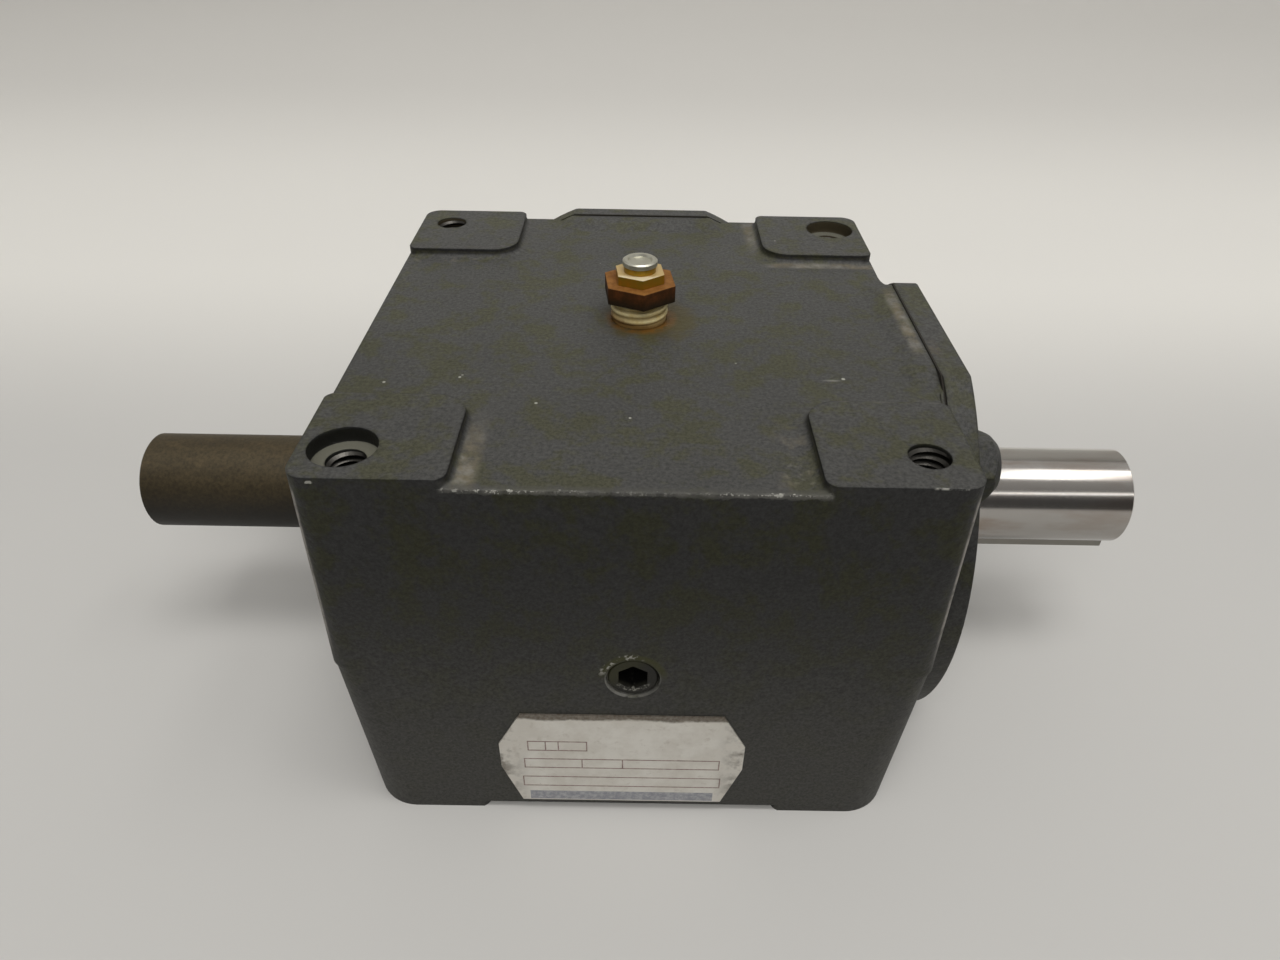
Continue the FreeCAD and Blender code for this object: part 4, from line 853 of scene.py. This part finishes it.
def rise(name, radius, half, fade, place):
    """A rise up to a cap that fades over some length from its first end.
    place turns an offset from the axis, a depth behind the cap and a level into a point."""
    sections = []
    for i in range(RISE_STEPS + 1):
        offset = half * (2.0 * i / RISE_STEPS - 1.0)
        round_top = AXIS_Z + math.sqrt(radius * radius - offset * offset)
        height = (min(RISE_TOP, round_top) - RECESS_TOP) * ease((offset + half) / fade)
        section = [(RISE_RUN, -SUNK), (0.0, -SUNK)]
        for k in range(RUN_STEPS + 1):
            depth = RISE_RUN * k / RUN_STEPS
            slope = ease((RISE_RUN - depth) / (RISE_RUN - RISE_FLAT))
            section.append((depth, (height + RISE_FOOT) * slope - RISE_FOOT))
        sections.append([place(offset, depth, RECESS_TOP + level) for depth, level in section])
    swept(name, sections)


def before_right_cap(offset, depth, level):
    return (SEAT_X - SEAT_GAP - depth, AXIS_Y + offset, level)


def before_rear_cap(offset, depth, level):
    return (offset, SEAT_Y - SEAT_GAP - depth, level)


rise("right_boss_rise", radius=55.9, half=27.5, fade=9.0, place=before_right_cap)
rise("rear_boss_rise", radius=54.4, half=24.3, fade=1.0, place=before_rear_cap)


# Cast edge of the recess: waves as height, turn per millimetre and phase
LIP_WAVES = ((0.42, 0.47, 1.0), (0.30, 1.31, 0.3), (0.20, 2.9, 0.0))
LIP_STEPS = 160
LIP_CURVE_STEPS = 8
LIP_HALF = PAD_X - 0.4
LIP_START_Y = FRONT_TOP + 0.9
LIP_DROP = 0.85
LIP_UNEVEN = 0.75
LIP_LEAST = 0.12
LIP_END_FADE = 2.0
LIP_THICK = 0.5
LIP_PROUD = 0.03
LIP_OUT = 0.05
LIP_OUT_SHARE = 0.22
LIP_START_UP = 0.02
LIP_PULL_UP = 0.06


def bent(t, start, pull, end):
    """A curve from start to end, drawn towards pull."""
    return (1 - t) ** 2 * start + 2 * t * (1 - t) * pull + t * t * end


def edge_lip(name):
    """Uneven rounding of the recess's front edge, in sections from the recess down the front."""
    sections = []
    for i in range(LIP_STEPS + 1):
        x = LIP_HALF * (2.0 * i / LIP_STEPS - 1.0)
        wave = sum(size * math.sin(rate * x + phase) for size, rate, phase in LIP_WAVES)
        drop = (LIP_DROP + LIP_UNEVEN * wave) * ease((LIP_HALF - abs(x)) / LIP_END_FADE) + LIP_LEAST
        foot_y = FRONT_TOP - drop * UPPER_LEAN
        pull_y = FRONT_TOP - (LIP_OUT + LIP_OUT_SHARE * drop)
        section = [(x, foot_y + LIP_THICK, RECESS_TOP - drop), (x, LIP_START_Y, RECESS_TOP - SUNK)]
        for k in range(LIP_CURVE_STEPS + 1):
            t = k / LIP_CURVE_STEPS
            y = bent(t, LIP_START_Y, pull_y, foot_y - LIP_PROUD)
            section.append((x, y, RECESS_TOP + bent(t, LIP_START_UP, LIP_PULL_UP, -drop)))
        sections.append(section)
    swept(name, sections)


# Fillets between the right boss and the side of the housing
BOSS_FILLET_LOW = 2.4
BOSS_FILLET_HIGH = RECESS_TOP + 0.01
BOSS_FILLET_STEPS = 48
BOSS_FILLET_REACH = 3.0
BOSS_FILLET_LONGEST = 5.0
BOSS_FILLET_EDGE = SEAT_X - 0.12


def side_wall(z):
    """Right side of the housing at a height."""
    lean = UPPER_LEAN if z > AXIS_Z else SIDE_LOWER_LEAN
    return HALF_WIDTH - abs(z - AXIS_Z) * lean


def boss_fillet(name, b):
    """Fillet beside the boss on its front or rear, b being the sign of Y, in level sections."""
    sections = []
    for i in range(BOSS_FILLET_STEPS + 1):
        z = BOSS_FILLET_LOW + (BOSS_FILLET_HIGH - BOSS_FILLET_LOW) * i / BOSS_FILLET_STEPS
        flank = math.sqrt(BOSS_RADIUS ** 2 - (z - AXIS_Z) ** 2)
        reach = min(BOSS_FILLET_LONGEST, BOSS_FILLET_REACH * BOSS_RADIUS / flank)
        wall = side_wall(z)
        profile = fillet_profile(reach, BOSS_FILLET_EDGE - wall)
        sections.append([(wall + h, AXIS_Y + b * (flank + d), z) for d, h in profile])
    swept(name, sections)


edge_lip("recess_edge_lip")
boss_fillet("right_boss_fillet_front", -1)
boss_fillet("right_boss_fillet_rear", 1)


# Rules and band of the plate, which leans with the lower front face
PLATE_LEAN = math.atan(FRONT_LOWER_LEAN)
PLATE_THICK = 0.4
INK_SUNK = 0.02
INK_THICK = 0.03
RULE = 0.28
BAND = (-24.7, 4.3, 20.0, 7.6)


def on_plate(x, z, lift):
    """A point at a height on the plate, lifted off its face."""
    drop = (AXIS_Z - z) / math.cos(PLATE_LEAN)
    out = PLATE_THICK + lift
    return (x, FRONT_MID + drop * math.sin(PLATE_LEAN) - out * math.cos(PLATE_LEAN),
            AXIS_Z - drop * math.cos(PLATE_LEAN) - out * math.sin(PLATE_LEAN))


def flat_marks(name, boxes, material):
    """Thin ink areas on the plate, each a slab with real thickness."""
    points = []
    faces = []
    for x0, z0, x1, z1 in boxes:
        a = len(points)
        for height in (-INK_SUNK, INK_THICK):
            for x, z in ((x0, z0), (x1, z0), (x1, z1), (x0, z1)):
                points.append(on_plate(x, z, height))
        faces.append((a + 4, a + 5, a + 6, a + 7))
        faces.append((a + 3, a + 2, a + 1, a))
        for i in range(4):
            j = (i + 1) % 4
            faces.append((a + i, a + j, a + j + 4, a + i + 4))
    mesh_piece(name, points, faces, material, "housing")


def frame_lines(x0, z0, x1, z1, dividers=()):
    """Lines round a box and across it."""
    lines = [(x0, z0, x1, z0 + RULE), (x0, z1 - RULE, x1, z1)]
    for x in (x0, x1 - RULE) + tuple(dividers):
        lines.append((x, z0, x + RULE, z1))
    return lines


rules = frame_lines(-24.4, 23.6, -10.4, 27.2, dividers=(-20.3, -17.3))
rules += frame_lines(-25.5, 16.95, 20.9, 20.6, dividers=(-11.9, -2.3))
rules += frame_lines(-26.15, 9.7, 21.5, 13.6)
flat_marks("plate_rules", rules, rule_ink)
flat_marks("plate_band", [BAND], band_ink)


bore_steel = metal("bore_steel", (0.033, 0.031, 0.028), (0.130, 0.125, 0.115), 0.28, 0.48)

# Screw threads, as ridges that wind round a bore or a stub: radius of the wall, radius of the crests, pitch
TAPPED = (4.25, 3.60, 1.588)
SMALL_TAPPED = (4.0, 3.30, 1.411)
FOOT_TAPPED = (4.76, 3.95, 1.588)
STUB = (6.7, 7.05, 1.85)
PER_TURN = 36
RUN_OUT = 9.0

# A ridge's half width as a share of the pitch, its flat as a share of that, its root as a share of its height
RIDGE_HALF = 0.46
RIDGE_FLAT = 0.18
RIDGE_ROOT = 0.12


def thread(name, x, y, start, end, size, material=bore_steel):
    """Winds a ridge from start to end along Z. The crest is inside a bore's wall, or outside a stub's."""
    wall, crest, pitch = size
    count = int(abs(end - start) / pitch * PER_TURN)
    way = 1.0 if end > start else -1.0
    half = pitch * RIDGE_HALF
    flat = half * RIDGE_FLAT
    root = wall + (wall - crest) * RIDGE_ROOT
    points = []
    faces = []
    for i in range(count + 1):
        angle = 2.0 * math.pi * i / PER_TURN
        level = start + way * pitch * i / PER_TURN
        fade = min(1.0, i / RUN_OUT, (count - i) / RUN_OUT)
        radius = wall + (crest - wall) * fade
        for r, dz in ((root, -half), (radius, -flat), (radius, flat), (root, half)):
            points.append((x + r * math.cos(angle), y + r * math.sin(angle), level + dz))
    for i in range(count):
        a = 4 * i
        b = a + 4
        for k in range(4):
            m = (k + 1) % 4
            faces.append((a + k, b + k, b + m, a + m))
    faces.append((0, 1, 2, 3))
    faces.append((4 * count + 3, 4 * count + 2, 4 * count + 1, 4 * count))
    outward(mesh_piece(name, points, faces, material, "housing"))


for corner, (a, b) in CORNERS.items():
    x = HOLE_X * a
    y = HOLE_Y * b
    if a * b < 0:
        thread("top_thread_" + corner, x, y, start=TOP - 1.2, end=TOP - 15.0, size=TAPPED)
    else:
        thread("top_thread_" + corner, x, y, start=TOP - 4.2, end=TOP - 16.0, size=SMALL_TAPPED)
    thread("foot_thread_" + corner, x, y, start=1.2, end=14.0, size=FOOT_TAPPED)
thread("breather_thread", 0.0, VENT_Y, start=RECESS_TOP + 0.2, end=HEX_LOW - 0.1, size=STUB,
       material=bushing_material)


# Stage, in metres
FLOOR_HALF_WIDTH = 4.0
FLOOR_FRONT = -3.0
BEND_START = 1.1
BEND_RADIUS = 0.6
BEND_STEPS = 16
BACK_TOP = 2.4


def stage_floor():
    """Plain pale floor that sweeps up behind, paler behind the object than round it."""
    look = Look("floor")
    y = look.axis("Y")
    cloud = look.noise(180.0, detail=3.0, rough=0.5)
    near = look.mix(cloud, (0.605, 0.600, 0.585), (0.625, 0.618, 0.602))
    far = look.mix(cloud, (0.87, 0.857, 0.82), (0.89, 0.877, 0.84))
    far = look.mix(look.step(y, 360.0, 700.0), far, (0.765, 0.752, 0.722))
    look.set(Base_Color=look.mix(look.step(y, 70.0, 260.0), near, far), Roughness=0.7)
    profile = [(FLOOR_FRONT, 0.0)]
    for i in range(BEND_STEPS + 1):
        turn = math.pi / 2 * i / BEND_STEPS
        bend_y = BEND_START + BEND_RADIUS * math.sin(turn)
        bend_z = BEND_RADIUS - BEND_RADIUS * math.cos(turn)
        profile.append((bend_y, bend_z))
    profile.append((BEND_START + BEND_RADIUS, BACK_TOP))
    count = len(profile)
    points = []
    for x in (-FLOOR_HALF_WIDTH, FLOOR_HALF_WIDTH):
        points += [(x, y, z) for y, z in profile]
    faces = [(i, count + i, count + i + 1, i + 1) for i in range(count - 1)]
    data = bpy.data.meshes.new("floor")
    data.from_pydata(points, [], faces)
    data.polygons.foreach_set("use_smooth", [True] * len(data.polygons))
    data.materials.append(look.material)
    floor = bpy.data.objects.new("floor", data)
    bpy.context.scene.collection.objects.link(floor)


PANEL_TINT = (1.0, 0.985, 0.955)
LIGHT_AIM = Vector((0.0, 0.0, 0.05))


def area_light(name, place, size_x, size_y, power, mirrored=True):
    """A soft panel that faces the object, in metres and watts."""
    data = bpy.data.lights.new(name, "AREA")
    data.shape = "RECTANGLE"
    data.size = size_x
    data.size_y = size_y
    data.energy = power
    data.color = PANEL_TINT
    light = bpy.data.objects.new(name, data)
    light.location = place
    light.rotation_euler = (LIGHT_AIM - Vector(place)).to_track_quat("-Z", "Y").to_euler()
    light.visible_glossy = mirrored
    bpy.context.scene.collection.objects.link(light)


stage_floor()
area_light("ceiling_panel", (0.17, -0.40, 2.4), size_x=1.3, size_y=0.65, power=17.0)
area_light("right_panel", (1.25, -0.16, 2.4), size_x=1.1, size_y=0.33, power=4.4)
area_light("far_panel", (1.9, -3.1, 2.42), size_x=1.3, size_y=0.27, power=3.1)
area_light("front_fill", (0.0, -1.7, 2.1), size_x=2.2, size_y=1.2, power=24.0, mirrored=False)

ROOM_TINT = (1.0, 0.975, 0.94, 1.0)
LOW_LIGHT = 0.08
HIGH_LIGHT = 0.37
PALE_ROOM = 0.52


def room_light():
    """Light of the room, bright from above and dim from the sides."""
    world = bpy.data.worlds.new("studio")
    bpy.context.scene.world = world
    world.use_nodes = True
    room = Nodes(world.node_tree)
    coordinates = room.add("ShaderNodeTexCoord")
    direction = room.add("ShaderNodeSeparateXYZ")
    room.join(coordinates.outputs["Generated"], direction.inputs[0])
    light = room.scaled(room.step(direction.outputs["Z"], 0.30, 0.85), LOW_LIGHT, HIGH_LIGHT)
    # The camera, metal and glass see a pale room, but metal keeps the dim side in front of the object
    paths = room.add("ShaderNodeLightPath")
    mirrored = room.times(paths.outputs["Is Glossy Ray"], room.step(direction.outputs["Y"], -0.5, 0.0))
    seen = room.most(mirrored, paths.outputs["Is Camera Ray"], paths.outputs["Is Transmission Ray"])
    strength = room.math("MULTIPLY_ADD", seen, room.less(PALE_ROOM, light), light)
    background = world.node_tree.nodes["Background"]
    background.inputs["Color"].default_value = ROOM_TINT
    room.join(strength, background.inputs["Strength"])


room_light()

# Camera at the photo's place, from a fit to the shaft, the holes and the cap
CAMERA_PLACE = Vector((0.18, -197.18, 198.22)) * MM
camera_data = bpy.data.cameras.new("camera")
camera_data.sensor_fit = "HORIZONTAL"
camera_data.sensor_width = 36.0
camera_data.lens = 24.741
camera_data.clip_start = 0.01
camera = bpy.data.objects.new("camera", camera_data)
right = Vector((0.9999, 0.0075, 0.0155)).normalized()
up = Vector((-0.0169, 0.5987, 0.8008)).normalized()
back = right.cross(up).normalized()
up = back.cross(right)
turn = Matrix((right, up, back)).transposed()
camera.matrix_world = Matrix.Translation(CAMERA_PLACE) @ turn.to_4x4()
bpy.context.scene.collection.objects.link(camera)
bpy.context.scene.camera = camera
bpy.context.scene.view_settings.view_transform = "Standard"
